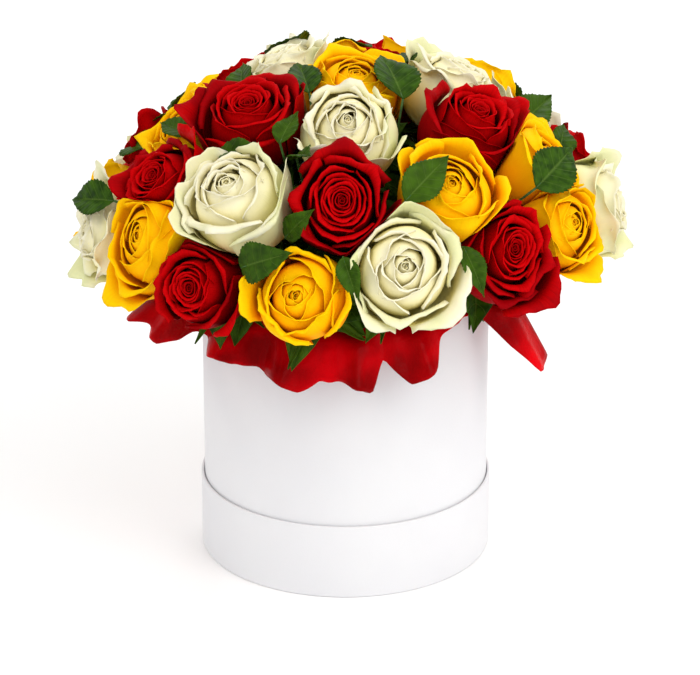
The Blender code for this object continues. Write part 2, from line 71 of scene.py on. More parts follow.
camera_data = bpy.data.cameras.new("camera")
camera_data.lens = CAMERA_LENS
camera_data.sensor_width = CAMERA_SENSOR
camera = bpy.data.objects.new("camera", camera_data)
camera.location = CAMERA_PLACE
camera.rotation_euler = (math.radians(90 - CAMERA_TILT), 0.0, 0.0)
scene.collection.objects.link(camera)
scene.camera = camera
print("camera looks down", CAMERA_TILT, "degrees through a lens of", CAMERA_LENS, "mm")

# %% [markdown]
# ## Shader expressions
# A finish is a web of small nodes. Joined by hand, a sum of three terms takes ten lines and
# nobody can read it. So one small class wraps a socket, and Python's own signs add its Math
# nodes. Colours go through Mix nodes instead, because a Math node turns a colour grey. Every
# node comes from one method, which makes the settings first and then fills the sockets.

# %% A value in a finish
class Value:
    """A socket of a finish, on which sums and products add Math nodes."""

    def __init__(self, look, socket):
        self.look = look
        self.socket = socket

    def math(self, operation, *others):
        values = dict(enumerate((self, *others)))
        return self.look.node("ShaderNodeMath", 0, {"operation": operation}, values)

    def __add__(self, other):
        return self.math("ADD", other)

    def __radd__(self, other):
        return self.math("ADD", other)

    def __sub__(self, other):
        return self.math("SUBTRACT", other)

    def __rsub__(self, other):
        return self * -1.0 + other

    def __mul__(self, other):
        return self.math("MULTIPLY", other)

    def __rmul__(self, other):
        return self.math("MULTIPLY", other)

    def ramp(self, low, high):
        """0 at low, 1 at high, and smooth between them. Low may be the larger."""
        settings = {"interpolation_type": "SMOOTHSTEP"}
        sockets = {"Value": self, "From Min": min(low, high), "From Max": max(low, high)}
        sockets["To Min"] = 0.0 if low < high else 1.0
        sockets["To Max"] = 1.0 if low < high else 0.0
        return self.look.node("ShaderNodeMapRange", "Result", settings, sockets)


print("values can be added, subtracted, multiplied and ramped")

# %% A material and its web of nodes
class Web:
    """A material whose nodes are added and joined by code."""

    def __init__(self, name):
        self.material = bpy.data.materials.new(name)
        self.material.use_nodes = True
        self.tree = self.material.node_tree
        self.shader = self.tree.nodes["Principled BSDF"]

    def join(self, target, value):
        """Gives a socket a number or a colour, or links it to an expression."""
        if isinstance(value, Value):
            self.tree.links.new(value.socket, target)
        elif target.type == "RGBA":
            target.default_value = (*value, 1.0)
        else:
            target.default_value = value

    def surface(self, **sockets):
        """Gives sockets of the shader their values or expressions, and hands the material out."""
        for name, value in sockets.items():
            self.join(self.shader.inputs[name.replace("_", " ")], value)
        return self.material

    def node(self, kind, output, settings, sockets):
        """Adds a node: its settings first, then the values or links of its sockets."""
        made = self.tree.nodes.new(kind)
        for name, value in settings.items():
            setattr(made, name, value)
        for socket, value in sockets.items():
            self.join(made.inputs[socket], value)
        return Value(self, made.outputs[output])


print("a web starts as one Principled shader")

# %% A finish
# Sockets of the Mix node when it mixes colours
MIX_SHARE = 0
MIX_FIRST = 6
MIX_SECOND = 7
MIX_RESULT = 2
# Between these values of its noise a mottled surface turns from dark to light
MOTTLE_EDGE = (0.3, 0.7)


class Finish(Web):
    """A web with short ways to add the nodes that a finish is made of."""

    def place(self):
        return self.node("ShaderNodeTexCoord", "Object", {}, {})

    def attribute(self, name):
        return self.node("ShaderNodeAttribute", "Fac", {"attribute_name": name}, {})

    def combine(self, x, y, z):
        return self.node("ShaderNodeCombineXYZ", "Vector", {}, {"X": x, "Y": y, "Z": z})

    def noise(self, where, scale, detail, roughness=0.5):
        sockets = {"Vector": where, "Scale": scale, "Detail": detail, "Roughness": roughness}
        return self.node("ShaderNodeTexNoise", "Fac", {}, sockets)

    def mix(self, share, first, second):
        sockets = {MIX_SHARE: share, MIX_FIRST: first, MIX_SECOND: second}
        return self.node("ShaderNodeMix", MIX_RESULT, {"data_type": "RGBA"}, sockets)

    def mottled(self, noise, dark, light):
        return self.mix(noise.ramp(*MOTTLE_EDGE), dark, light)

    def bump(self, height, distance, strength):
        sockets = {"Height": height, "Distance": distance, "Strength": strength}
        return self.node("ShaderNodeBump", "Normal", {}, sockets)


print("a mottled surface turns light between", *MOTTLE_EDGE)

# %% [markdown]
# ## Where the heads are
# Florists push the stems into a dome of wet foam, so the faces of the heads lie in rings on a
# wider dome. The heads could be scattered by chance, but the photograph shows where the front
# ones are. So a table gives each face its place on the dome, the way it looks and how wide it
# opens, and the rings go on round the back in the same spacing.

# %% The dome of faces
DOME_RADIUS = 181.0
DOME_RISE = 101.0
DOME_LEVEL = 254.0


def unit(vector):
    return vector / np.linalg.norm(vector)


def direction(azimuth, rise):
    """Azimuth 0 is the front and grows to the right as seen from the front."""
    turn = math.radians(azimuth)
    tilt = math.radians(rise)
    return np.array([
        math.sin(turn) * math.cos(tilt),
        -math.cos(turn) * math.cos(tilt),
        math.sin(tilt),
    ])


def dome_point(azimuth, latitude):
    point = DOME_RADIUS * math.cos(math.radians(latitude)) * direction(azimuth, 0)
    point[2] = DOME_LEVEL + DOME_RISE * math.sin(math.radians(latitude))
    return point


print("top of the dome", dome_point(0, 90).round(1))

# %% The heads
# name, colour, azimuth and latitude of the face, azimuth and rise of the axis, radius
ROSES = (
    ("W5", "white", -71, 0, -80, 14, 36),
    ("Y5", "yellow", -50, 7, -47, 22, 38),
    ("R6", "red", -34, -3, -22, 22, 36),
    ("Y4", "yellow", -9, 0, -8, 28, 35),
    ("W3", "white", 13, 9, 8, 27, 39),
    ("R5", "red", 38, 8, 25, 25, 37),
    ("Y3", "yellow", 59, 9, 54, 26, 34),
    ("W4", "white", 77, 5, 84, 16, 38),
    ("A1", "yellow", 107, -9, 107, 18, 37),
    ("A2", "red", 133, -4, 133, 22, 37),
    ("A3", "white", 158, -3, 158, 22, 38),
    ("A4", "yellow", 183, -3, 183, 22, 37),
    ("A5", "red", 209, -3, 209, 22, 37),
    ("A6", "white", 236, -3, 236, 22, 38),
    ("A7", "yellow", 262, -6, 262, 18, 37),
    ("Y6", "yellow", 281, 46, 286, 44, 37),
    ("R2", "red", 306, 31, 315, 40, 36),
    ("W1", "white", -31, 33, -38, 48, 41),
    ("R3", "red", -1, 33, 0, 33, 38),
    ("Y1", "yellow", 29, 36, 18, 56, 37),
    ("Y2", "yellow", 67, 32, 82, 42, 36),
    ("R8", "red", 94, 15, 96, 24, 34),
    ("B1", "white", 120, 24, 120, 38, 36),
    ("B2", "yellow", 145, 28, 145, 41, 37),
    ("B3", "red", 170, 30, 170, 41, 38),
    ("B4", "white", 195, 29, 195, 41, 37),
    ("B5", "yellow", 220, 26, 220, 40, 37),
    ("B6", "red", 246, 18, 246, 36, 36),
    ("R1", "red", 311, 60, 335, 60, 40),
    ("W2", "white", 1, 60, 0, 47, 39),
    ("R4", "red", 56, 53, 44, 55, 40),
    ("W7", "white", 100, 63, 96, 62, 36),
    ("R7", "red", 148, 71, 148, 68, 36),
    ("C3", "yellow", 149, 53, 149, 56, 36),
    ("C1", "yellow", 187, 54, 187, 60, 37),
    ("C2", "red", 223, 50, 223, 56, 37),
    ("W6", "white", 244, 74, 262, 68, 37),
    ("Y7", "yellow", 20, 83, 20, 74, 36),
)
# How far some faces stand out of the dome
OUTWARD = {
    "W5": 3.0, "W4": 10.0, "Y3": 3.0, "Y6": -12.0, "C2": -12.0, "B5": -10.0, "B6": -18.0,
    "R8": -8.0, "B1": -14.0, "R7": -8.0, "C3": -7.0, "C1": -5.0,
}
print(len(ROSES), "heads,", len(OUTWARD), "of them off the dome")

# %% [markdown]
# ## Room for every head
# Neighbours press on each other, so no head is freely round. Petals could be cut off where heads
# meet, but that leaves flat walls. Here a plane parts each pair, nearer to the smaller head, and
# a petal that would cross it is drawn in softly, as real ones are pressed back. Real hearts also
# lie a little off the middle and are a little oval, so each head gets a shift and a stretch.

# %% The plane between two heads
GAP_BETWEEN_HEADS = 0.5


def parting_plane(first, other):
    """Normal and offset of the plane that parts two heads, nearer to the smaller one."""
    away = other.centre - first.centre
    distance = np.linalg.norm(away)
    shift = (first.radius ** 2 - other.radius ** 2) / (2 * distance)
    normal = away / distance
    return normal, normal @ first.centre + distance / 2 + shift


print("heads keep", GAP_BETWEEN_HEADS, "mm between them")

# %% One head
HEAD_HEIGHT = 53.0
CENTRE_DEPTH = 24.0
HEART_SHIFT = (1.5, 4.5)
HEART_OVAL = (0.05, 0.17)
HEART_SEED = 900
# Which way a heart is stretched, in degrees from the right side of its head
HEART_TURNS = {
    "R1": 10, "R2": 60, "R3": 90, "R4": 160, "R5": 65, "R6": 100, "W1": 10, "W2": 90, "W3": 60,
    "Y1": 90, "Y4": 80, "Y5": 100,
}


class Rose:
    """One head: where its face is, which way it looks and the planes that bound its room."""

    def __init__(self, row, seed):
        self.name, self.colour, azimuth, self.latitude, turn, rise, self.radius = row
        self.seed = seed
        self.axis = direction(turn, rise)
        self.up = direction(turn, rise + 90)
        self.side = np.cross(self.up, self.axis)
        self.face = dome_point(azimuth, self.latitude) + OUTWARD.get(self.name, 0.0) * self.axis
        self.base = self.face - HEAD_HEIGHT * self.axis
        self.centre = self.face - CENTRE_DEPTH * self.axis
        self.normals = []
        self.offsets = []
        self.leaves = []
        self.set_heart(np.random.default_rng(HEART_SEED + seed))

    def spoke(self, turn):
        """The direction away from the axis at a turn from the right side of the head."""
        return np.cos(turn) * self.side + np.sin(turn) * self.up

    def set_heart(self, chance):
        """How much the heart is stretched, which way, and how far it lies off the axis."""
        self.oval = chance.uniform(*HEART_OVAL)
        self.oval_turn = math.radians(HEART_TURNS.get(self.name, chance.uniform(0, 180)))
        spoke = self.spoke(chance.uniform(0, 2 * math.pi))
        self.shift = chance.uniform(*HEART_SHIFT) * spoke

    def meet(self, other):
        """Adds the plane that parts this head from another one."""
        normal, offset = parting_plane(self, other)
        self.normals.append(normal)
        self.offsets.append(offset - GAP_BETWEEN_HEADS / 2)


print("a head is", HEAD_HEIGHT, "mm tall")

# %% All heads meet their neighbours
roses = {row[0]: Rose(row, seed) for seed, row in enumerate(ROSES)}
for rose, other in permutations(roses.values(), 2):
    rose.meet(other)
print("each head has", len(rose.normals), "planes round it")

# %% Points that stay in their room
SOFT_SHARE = 0.86
LEAST_ROOM = 1.0
FAR_AWAY = 1000.0
NEARLY_LEVEL = 1e-6


def room_along(rose, start, spoke):
    """How far a spoke may go before it meets a plane of the room."""
    normals = np.array(rose.normals).T
    slope = spoke @ normals
    rest = np.array(rose.offsets) - start @ normals
    meets = slope > NEARLY_LEVEL
    room = np.where(meets, rest / np.where(meets, slope, 1.0), FAR_AWAY)
    return np.maximum(room.min(axis=-1, keepdims=True), LEAST_ROOM)


def head_points(rose, reach, turn, height):
    """Points at a reach, turn and height about the axis, drawn in to stay in their room."""
    given = np.broadcast_arrays(reach, turn, height)
    reach, turn, height = (np.asarray(values, float)[..., None] for values in given)
    spoke = rose.spoke(turn)
    bend = np.clip(height / HEAD_HEIGHT, 0, 1) ** 2
    reach = reach * (1 + rose.oval * bend * np.cos(2 * (turn - rose.oval_turn)))
    start = rose.base + height * rose.axis + bend * rose.shift
    room = room_along(rose, start, spoke)
    knee = SOFT_SHARE * room
    drawn = knee + (room - knee) * (1 - np.exp(-np.maximum(reach - knee, 0) / (room - knee)))
    return start + np.where(reach <= knee, reach, drawn) * spoke


middle = roses["R3"]
room = room_along(middle, middle.centre, middle.spoke(np.radians([[0], [90], [180], [270]])))
print("room right, above, left and below the middle head", room.ravel().round(1))

# %% [markdown]
# ## One petal
# A rose petal is a thin shell. It leaves its narrow foot sideways, climbs the body of the bud and
# either closes over it or opens. Its rim is an arch, low at both sides. The lip beyond the rim
# rolls outward, least in the middle, which leaves the small point that roses have. One petal
# could be sculpted and copied, but no two are alike. So each starts as a flat grid whose points
# are moved: one direction goes round the head, the other climbs the curve and goes over the lip.

# %% The measures of a petal
FOOT_REACH = 0.06
LOW_HANDLE = 0.04
CLOSING_REACH = 0.15
SHOULDER = 0.72
SHOULDER_LIFT = 0.25
# measure: how much it grows in a wide open head, and the least and the greatest growth by chance
PETAL_LUCK = {
    "rim": (0.08, -0.06, 0.06),
    "top": (-0.015, -0.018, 0.012),
    "neck": (0.03, -0.02, 0.02),
    "wrap": (0.0, -0.12, 0.08),
    "lip": (0.0, -0.25, 0.25),
    "roll": (0.0, -0.35, 0.25),
    "fold": (0.0, -0.6, 0.5),
    "rounding": (0.0, -0.3, 0.3),
    "tip": (0.0, -0.7, 0.6),
}


class Petal:
    """The measures of one petal.

    rim and top are the reach and height of its rim, neck and belly reaches further down, all as
    shares of the head's radius and height. wrap is half its width, and roll and fold how far its
    lip turns, in degrees. lip and tip are lengths in mm. rounding lowers the sides of the rim,
    and chord makes the rim run straight.
    """

    def __init__(self, rim, top, neck, belly, wrap, rounding, lip, roll, fold, tip, chord):
        self.rim, self.top, self.neck, self.belly = rim, top, neck, belly
        self.wrap, self.rounding, self.lip = wrap, rounding, lip
        self.roll, self.fold, self.tip, self.chord = roll, fold, tip, chord

    def vary(self, chance, openness):
        """No two petals are alike, and some heads are further open than others."""
        for name, (opening, least, greatest) in PETAL_LUCK.items():
            growth = 1 + opening * openness + chance.uniform(least, greatest)
            setattr(self, name, getattr(self, name) * growth)

    def handles(self):
        """Four handles of the curve that climbs from the foot to the rim, as shares."""
        closing = min(max((self.neck - self.rim) / CLOSING_REACH, 0.0), 1.0)
        shoulder = self.top * (SHOULDER + SHOULDER_LIFT * closing)
        return (
            (FOOT_REACH, 0.0), (self.belly, LOW_HANDLE), (self.neck, shoulder), (self.rim, self.top)
        )


print(len(PETAL_LUCK), "measures vary by chance")

# %% The climb, the arch of the rim and the lip
ROUNDING_POWER = 2.3
RIM_LEAN = 0.2
LIP_TAPER = 0.5
LIP_TAPER_POWER = 2.5
TIP_NARROWING = 3.0
TIP_POWER = 1.2
FOLD_SPREAD = 1.1
LEAST_ROLL = 0.001


def climb(handles, share):
    """Reach and height on a cubic curve, and how steeply both grow."""
    rest = 1 - share
    weights = (rest ** 3, 3 * share * rest ** 2, 3 * share ** 2 * rest, share ** 3)
    growths = (rest ** 2, 2 * share * rest, share ** 2)
    place = [sum(w * spot[axis] for w, spot in zip(weights, handles)) for axis in (0, 1)]
    steps = [(end[0] - start[0], end[1] - start[1]) for start, end in zip(handles, handles[1:])]
    growth = [3 * sum(w * step[axis] for w, step in zip(growths, steps)) for axis in (0, 1)]
    return (*place, *growth)


def rim_arch(petal, across, chance):
    """Where the climb ends: lower at both sides, and leaning a little to one of them."""
    lean = chance.uniform(-RIM_LEAN, RIM_LEAN)
    return 1 - petal.rounding * np.abs(across) ** ROUNDING_POWER + lean * across * petal.rounding


def rolled_lip(petal, start, edge, lip):
    """How far the lip goes outward and up, from the slope at which it starts."""
    fold = np.sin(math.pi * np.minimum(edge * FOLD_SPREAD, 1)) ** 2
    roll = np.radians(petal.roll + petal.fold * fold) + LEAST_ROLL
    length = petal.lip * (1 - LIP_TAPER * edge ** LIP_TAPER_POWER)
    length = length + petal.tip * np.clip(1 - TIP_NARROWING * edge, 0, 1) ** TIP_POWER
    outward = length * (np.cos(start) - np.cos(start + roll * lip)) / roll
    upward = length * (np.sin(start + roll * lip) - np.sin(start)) / roll
    return outward, upward


print("halfway up a bud", np.round(climb(((0, 0), (1, 0), (1, 1), (0, 1)), 0.5)[:2], 2))

# %% The shape of a whole petal
LIP_START = 0.70
CLIMB_POWER = 0.8
FOOT_WIDTH = 0.45
WIDENING = 1.25
OVERLAP = 0.04
LEAST_REACH = 0.3
RUFFLE_WAVES = (1.2, 2.6)
RUFFLE = 0.12
FINE_WAVES = 5.3
FINE_RUFFLE = 0.05
RUFFLE_RISE = 0.6


def ruffles(petal, across, along, chance):
    """Broad and fine waves of the rim, which fade towards the foot."""
    waves = chance.uniform(*RUFFLE_WAVES)
    phase = chance.uniform(0, 2 * math.pi)
    broad = RUFFLE * petal.lip * np.sin(waves * across * math.pi + phase) * along ** 4
    fine = FINE_RUFFLE * petal.lip * np.sin(FINE_WAVES * across * math.pi + 2 * phase)
    return broad + fine * along ** 8


def straightening(petal, swing, along):
    """What brings the rim of a wide petal from a round to the straight line between its sides."""
    half = math.radians(petal.wrap) / 2
    flat = np.cos(half) / np.cos(np.minimum(np.abs(swing), 2 * half) - half)
    return 1 - petal.chord * (1 - flat) * along ** 2


def petal_points(rose, petal, centre_turn, across, along, chance):
    """Where the points of a petal's grid go."""
    climbed = np.clip(along / LIP_START, 0, 1) ** CLIMB_POWER
    share = np.clip(climbed * rim_arch(petal, across, chance), 0, 1)
    reach, height, outward, upward = climb(petal.handles(), share)
    slope = np.arctan2(outward * rose.radius, upward * HEAD_HEIGHT)
    lip = np.clip((along - LIP_START) / (1 - LIP_START), 0, 1)
    lip_reach, lip_height = rolled_lip(petal, slope, np.abs(across), lip)
    ruffle = ruffles(petal, across, along, chance)
    width = FOOT_WIDTH + (1 - FOOT_WIDTH) * np.sin(math.pi / 2 * np.clip(climbed * WIDENING, 0, 1))
    swing = across * math.radians(petal.wrap) * width
    reach = (reach * rose.radius + lip_reach) * straightening(petal, swing, along)
    reach = reach + ruffle + petal.chord * OVERLAP * rose.radius * across * along
    height = height * HEAD_HEIGHT + lip_height + RUFFLE_RISE * ruffle
    return head_points(rose, np.maximum(reach, LEAST_REACH), centre_turn + swing, height) * MM


print("the lip starts at", LIP_START, "of a petal")

# %% [markdown]
# ## Whole heads
# Petals grow one after another, each 137.5 degrees further round than the one before, so no two
# stand in line. Every petal could be posed by hand, but a thousand of them are too many. So
# tables say how the petals change from the first in the heart to the last guard petal. Yellow
# heads stay cupped, white ones keep a high bud under wide guard petals, and red ones open evenly
# from a deep heart. The few petals that stand out in the photograph are placed one by one.

# %% How petals change as they grow
GOLDEN_TURN = math.radians(137.508)
# growth, rim, top, neck, belly, wrap, rounding, lip, roll, fold, tip, chord
GROWTH = {
    "red": (
        (0.00, 0.01, 0.915, 0.05, 0.15, 125, 0.02, 0.9, 15, 10, 0.0, 0.0),
        (0.26, 0.11, 0.940, 0.18, 0.36, 102, 0.05, 2.4, 60, 20, 0.2, 0.0),
        (0.55, 0.27, 0.935, 0.37, 0.60, 84, 0.09, 4.4, 88, 25, 0.6, 0.1),
        (0.78, 0.49, 0.875, 0.58, 0.80, 68, 0.11, 7.2, 100, 35, 1.8, 0.5),
        (1.00, 0.80, 0.700, 0.86, 1.02, 56, 0.11, 12.0, 118, 45, 3.6, 0.9),
    ),
    "yellow": (
        (0.00, 0.01, 0.880, 0.06, 0.16, 125, 0.02, 0.8, 10, 10, 0.0, 0.0),
        (0.28, 0.10, 0.905, 0.26, 0.42, 105, 0.06, 1.8, 50, 15, 0.2, 0.0),
        (0.55, 0.28, 0.900, 0.58, 0.68, 88, 0.15, 3.0, 65, 25, 0.2, 0.1),
        (0.72, 0.48, 0.860, 0.76, 0.84, 76, 0.16, 5.4, 80, 30, 0.6, 0.3),
        (0.84, 0.68, 0.860, 0.82, 0.94, 62, 0.10, 7.8, 92, 60, 2.6, 0.8),
        (1.00, 0.86, 0.760, 0.93, 1.05, 56, 0.10, 10.0, 115, 50, 3.6, 1.0),
    ),
    "white": (
        (0.00, 0.01, 0.935, 0.06, 0.16, 125, 0.02, 0.8, 10, 5, 0.0, 0.0),
        (0.25, 0.09, 0.960, 0.22, 0.36, 105, 0.06, 2.4, 60, 15, 0.3, 0.0),
        (0.46, 0.26, 0.945, 0.47, 0.60, 88, 0.13, 4.4, 90, 25, 0.4, 0.1),
        (0.66, 0.46, 0.880, 0.67, 0.78, 74, 0.14, 7.5, 105, 35, 1.2, 0.4),
        (0.84, 0.66, 0.790, 0.79, 0.92, 62, 0.11, 11.0, 112, 50, 3.6, 0.8),
        (1.00, 0.83, 0.690, 0.90, 1.04, 54, 0.11, 14.0, 125, 50, 4.8, 1.0),
    ),
}
PETALS = {"red": 29, "yellow": 24, "white": 24}


def grown_petal(colour, growth):
    table = np.array(GROWTH[colour])
    return Petal(*(np.interp(growth, table[:, 0], column) for column in table.T[1:]))


print("petals per head", PETALS)

# %% Single petals that stand out
# in degrees from the right side of the head
STANDING = {
    "R1": (18, 200), "R2": (60, 250), "R3": (318,), "R4": (335, 215), "R5": (300,), "R6": (340,),
    "W1": (12, 172, 232), "W2": (235, 305), "W3": (62, 215, 318), "W4": (30, 300), "W5": (120, 240),
    "Y1": (158, 330), "Y2": (140, 20), "Y3": (80, 270), "Y4": (172, 352), "Y5": (58, 10, 255),
    "Y7": (160, 20),
}
# rim, top, neck, belly, wrap, rounding, lip, roll, fold, tip, chord
STANDING_PETAL = (0.95, 0.78, 0.84, 1.02, 44, 0.17, 13.0, 62, 25, 5.0, 0.9)
print(sum(len(turns) for turns in STANDING.values()), "petals stand out where the photo shows them")

# %% [markdown]
# ## From grid to petal
# Each petal needs points to bend and numbers that its finish can read later. The points could be
# listed one by one, but one operator makes the whole flat grid, and then only its points move.
# Where a leaf lies on a head, the petals give way: each head knows the leaves near it, and a
# point beyond a leaf goes back the shorter way, towards the axis or down below the leaf.

# %% A flat grid to start from
class Grid:
    """A flat grid whose points are moved to become a petal, a leaf or a sepal.

    across runs from -1 to 1 over its width, along from 0 at its foot to 1 at its tip.
    """

    def __init__(self, bm, columns, rows, chance):
        self.bm = bm
        made = bmesh.ops.create_grid(bm, x_segments=columns, y_segments=rows, size=1.0)
        self.verts = made["verts"]
        flat = np.array([vert.co for vert in self.verts])
        self.across = flat[:, 0]
        self.along = (flat[:, 1] + 1) / 2
        self.luck = chance.random()

    def move(self, points, **marks):
        """Moves the points to their places and stores what the finishes read."""
        marks["luck"] = np.full(len(points), self.luck)
        marks["across"] = self.across
        marks["along"] = self.along
        for vert, point in zip(self.verts, points):
            vert.co = point
        for name, values in marks.items():
            layer = self.bm.verts.layers.float[name]
            for vert, value in zip(self.verts, values):
                vert[layer] = value


def marked_mesh(*names):
    """An empty bmesh whose points will carry numbers under these names."""
    bm = bmesh.new()
    for name in names:
        bm.verts.layers.float.new(name)
    return bm


print("grids carry across, along and luck")

# %% Petals give way to leaves
LEAF_SEARCH = 45.0 * MM
LEAF_ROOM = 0.9 * MM


def press_back(rose, point):
    """Where a petal point goes that would lie beyond a leaf."""
    point = Vector(point)
    base = Vector(rose.base * MM)
    axis = Vector(rose.axis)
    start = base + (point - base).dot(axis) * axis
    reach = (point - start).length
    for tree in rose.leaves:
        spoke_spot, _, _, outward = tree.ray_cast(start, point - start, reach)
        axis_spot, _, _, upward = tree.ray_cast(point - LEAF_SEARCH * axis, axis, LEAF_SEARCH)
        if spoke_spot is None or axis_spot is None:
            continue
        if reach - outward < LEAF_SEARCH - upward:
            point = start + (point - start) * max(outward - LEAF_ROOM, 0.0) / reach
        else:
            point = axis_spot - LEAF_ROOM * axis
        reach = (point - start).length
    return point


print("petals keep", LEAF_ROOM / MM, "mm below a leaf")

# %% Hand a piece over
def finish_piece(name, bm, material, node, slot):
    """Makes the mesh an object that rides on the root and stands for a node of the model."""
    mesh = bpy.data.meshes.new(name)
    bm.to_mesh(mesh)
    bm.free()
    mesh.shade_smooth()
    mesh.materials.append(material)
    piece = bpy.data.objects.new(name, mesh)
    scene.collection.objects.link(piece)
    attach(piece, "root")
    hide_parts(node)
    return piece


def thicken(piece, thickness):
    """Gives a thin shell a wall, half of it to each side."""
    wall = piece.modifiers.new("thickness", "SOLIDIFY")
    wall.thickness = thickness
    wall.offset = 0.0
    wall.use_even_offset = False


print(len(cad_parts), "packed nodes can be stood for")

# %% Make one head
PETAL_THICK = 0.36 * MM
PETAL_COLUMNS = (9, 17)
PETAL_ROWS = (8, 12)
INNER_GROWTH = 0.3
TURN_LUCK = 0.14
HEAD_SEED = 100


def add_petal(bm, rose, petal, turn, growth, chance):
    """One petal, with more points the further out it grows."""
    columns = round(np.interp(growth, (0, 1), PETAL_COLUMNS))
    rows = round(np.interp(growth, (0, 1), PETAL_ROWS))
    grid = Grid(bm, columns, rows, chance)
    points = petal_points(rose, petal, turn, grid.across, grid.along, chance)
    if growth > INNER_GROWTH:
        points = [press_back(rose, point) for point in points]
    grid.move(points, depth=np.full(len(points), growth))


def make_head(rose, node):
    """All petals of a head, from the heart outward, as one piece for its node."""
    chance = np.random.default_rng(HEAD_SEED + rose.seed)
    bm = marked_mesh("across", "along", "depth", "luck")
    openness = chance.uniform(-1, 1)
    start = chance.uniform(0, 2 * math.pi)
    count = PETALS[rose.colour]
    for number in range(count):
        growth = number / (count - 1)
        petal = grown_petal(rose.colour, growth)
        petal.vary(chance, openness)
        turn = start + number * GOLDEN_TURN + chance.uniform(-TURN_LUCK, TURN_LUCK)
        add_petal(bm, rose, petal, turn, growth, chance)
    for turn in STANDING.get(rose.name, (chance.uniform(0, 360),)):
        petal = Petal(*STANDING_PETAL)
        petal.vary(chance, openness)
        add_petal(bm, rose, petal, math.radians(turn), 1.0, chance)
    bmesh.ops.recalc_face_normals(bm, faces=bm.faces)
    material = petal_materials[rose.colour]
    piece = finish_piece(node + "_fine", bm, material, node, "petal_" + rose.colour)
    thicken(piece, PETAL_THICK)
    return len(piece.data.polygons)


print("faces of the least and the greatest petal", np.multiply(PETAL_COLUMNS, PETAL_ROWS))

# %% [markdown]
# ## Petal finishes
# A petal isn't one colour. Its foot is painted deeper, as painted shade where light gets lost
# between the petals, and the innermost petals of red and yellow heads get painted shade in the
# deep heart. In white heads foot and heart are painted bright warm cream instead: partly the
# yellowish base of the petals, partly a painted glow of light shining through them. Fine veins
# run up the petals and the lip is a little paler. A picture of a petal could be laid on each
# one, but it would need unwrapping and would repeat. So the finish reads how far a point lies up
# its petal and how far out in the head its petal grows, both stored on the mesh.

# %% Petal colours
# foot is painted shade at the foot of each petal, and in white heads a painted glow of light
# through the petals over their yellowish base; bud is painted shade in the heart of red and yellow
# heads, and a painted glow in the heart of white ones
PETAL_COLOURS = {
    "red": {
        "foot": (0.14, 0.000, 0.001), "blade": (0.52, 0.000, 0.001), "lip": (0.58, 0.000, 0.002),
        "bud": (0.26, 0.000, 0.001), "guard": (0.28, 0.000, 0.002), "veins": 0.30, "shine": 0.03,
    },
    "yellow": {
        "foot": (0.94, 0.34, 0.001), "blade": (1.00, 0.57, 0.001), "lip": (1.00, 0.63, 0.002),
        "bud": (0.97, 0.40, 0.001), "guard": (0.98, 0.60, 0.002), "veins": 0.20, "shine": 0.03,
    },
    "white": {
        "foot": (0.97, 0.87, 0.40), "blade": (0.86, 0.81, 0.57), "lip": (0.88, 0.84, 0.68),
        "bud": (1.00, 0.92, 0.52), "guard": (0.74, 0.75, 0.40), "veins": 0.16, "shine": 0.10,
    },
}
print("colours of a petal", list(PETAL_COLOURS["red"]))

# %% Petal materials
# Where one colour passes into the next, up a petal or from the heart outward
# The foot and heart colours are painted shade, and a painted glow in white heads
PAINTED_FOOT_TO_BLADE = (0.35, 0.86)
BLADE_TO_LIP = (0.88, 1.0)
HEAD_TO_PAINTED_HEART = (0.50, 0.0)
HEAD_TO_GUARD = (0.75, 1.0)
LIP_SHARE = 0.6
PAINTED_HEART_SHARE = 0.7
# Scale and detail of each noise, and where patches and lines begin and end in theirs
PATCHES = (40.0, 2.0)
PATCH_EDGE = (0.50, 0.90)
PATCH_LUCK = 0.35
LINES = (3.2, 2.0)
LINE_EDGE = (0.45, 0.75)
SKIN = (900.0, 2.0)
# How fast the lines change across a petal, up it and from one petal to the next
LINES_ACROSS = 9.0
LINES_ALONG = 0.9
LINES_LUCK = 7.0
# Share of lines and skin in the relief, then its depth and strength
LINE_RELIEF = 0.6
SKIN_RELIEF = 0.25
PETAL_RELIEF = (0.6 * MM, 0.35)


def petal_finish(name, foot, blade, lip, bud, guard, veins, shine):
    look = Finish(name + " petals")
    along = look.attribute("along")
    across = look.attribute("across")
    depth = look.attribute("depth")
    luck = look.attribute("luck")
    # painted shade at the foot of each petal, a painted glow in white heads, fading out up the
    # petal
    colour = look.mix(along.ramp(*PAINTED_FOOT_TO_BLADE), foot, blade)
    colour = look.mix(along.ramp(*BLADE_TO_LIP) * LIP_SHARE, colour, lip)
    # painted shade in the heart of red and yellow heads, a painted glow in the heart of white ones
    colour = look.mix(depth.ramp(*HEAD_TO_PAINTED_HEART) * PAINTED_HEART_SHARE, colour, bud)
    patches = look.noise(look.place(), *PATCHES)
    outer = depth.ramp(*HEAD_TO_GUARD) * (patches + luck * PATCH_LUCK).ramp(*PATCH_EDGE)
    colour = look.mix(outer, colour, guard)
    where = look.combine(across * LINES_ACROSS, along * LINES_ALONG, luck * LINES_LUCK)
    lines = look.noise(where, *LINES)
    colour = look.mix(lines.ramp(*LINE_EDGE) * veins, colour, foot)
    relief = lines * LINE_RELIEF + look.noise(look.place(), *SKIN) * SKIN_RELIEF
    look.surface(Roughness=0.6, Specular_IOR_Level=shine)
    return look.surface(Base_Color=colour, Normal=look.bump(relief, *PETAL_RELIEF))


petal_materials = {name: petal_finish(name, **parts) for name, parts in PETAL_COLOURS.items()}
print("petal materials", list(petal_materials))

# %% [markdown]
# ## Stems and hips
# Under each head sits a small green hip, and below it the stem leans into the foam, where the
# stems of a group meet. A curve with a round bevel would make a stem as well. Here a flat grid is
# rolled round the path until its two long edges merge, because then hip and stem are one skin
# with a radius of its own at each point.

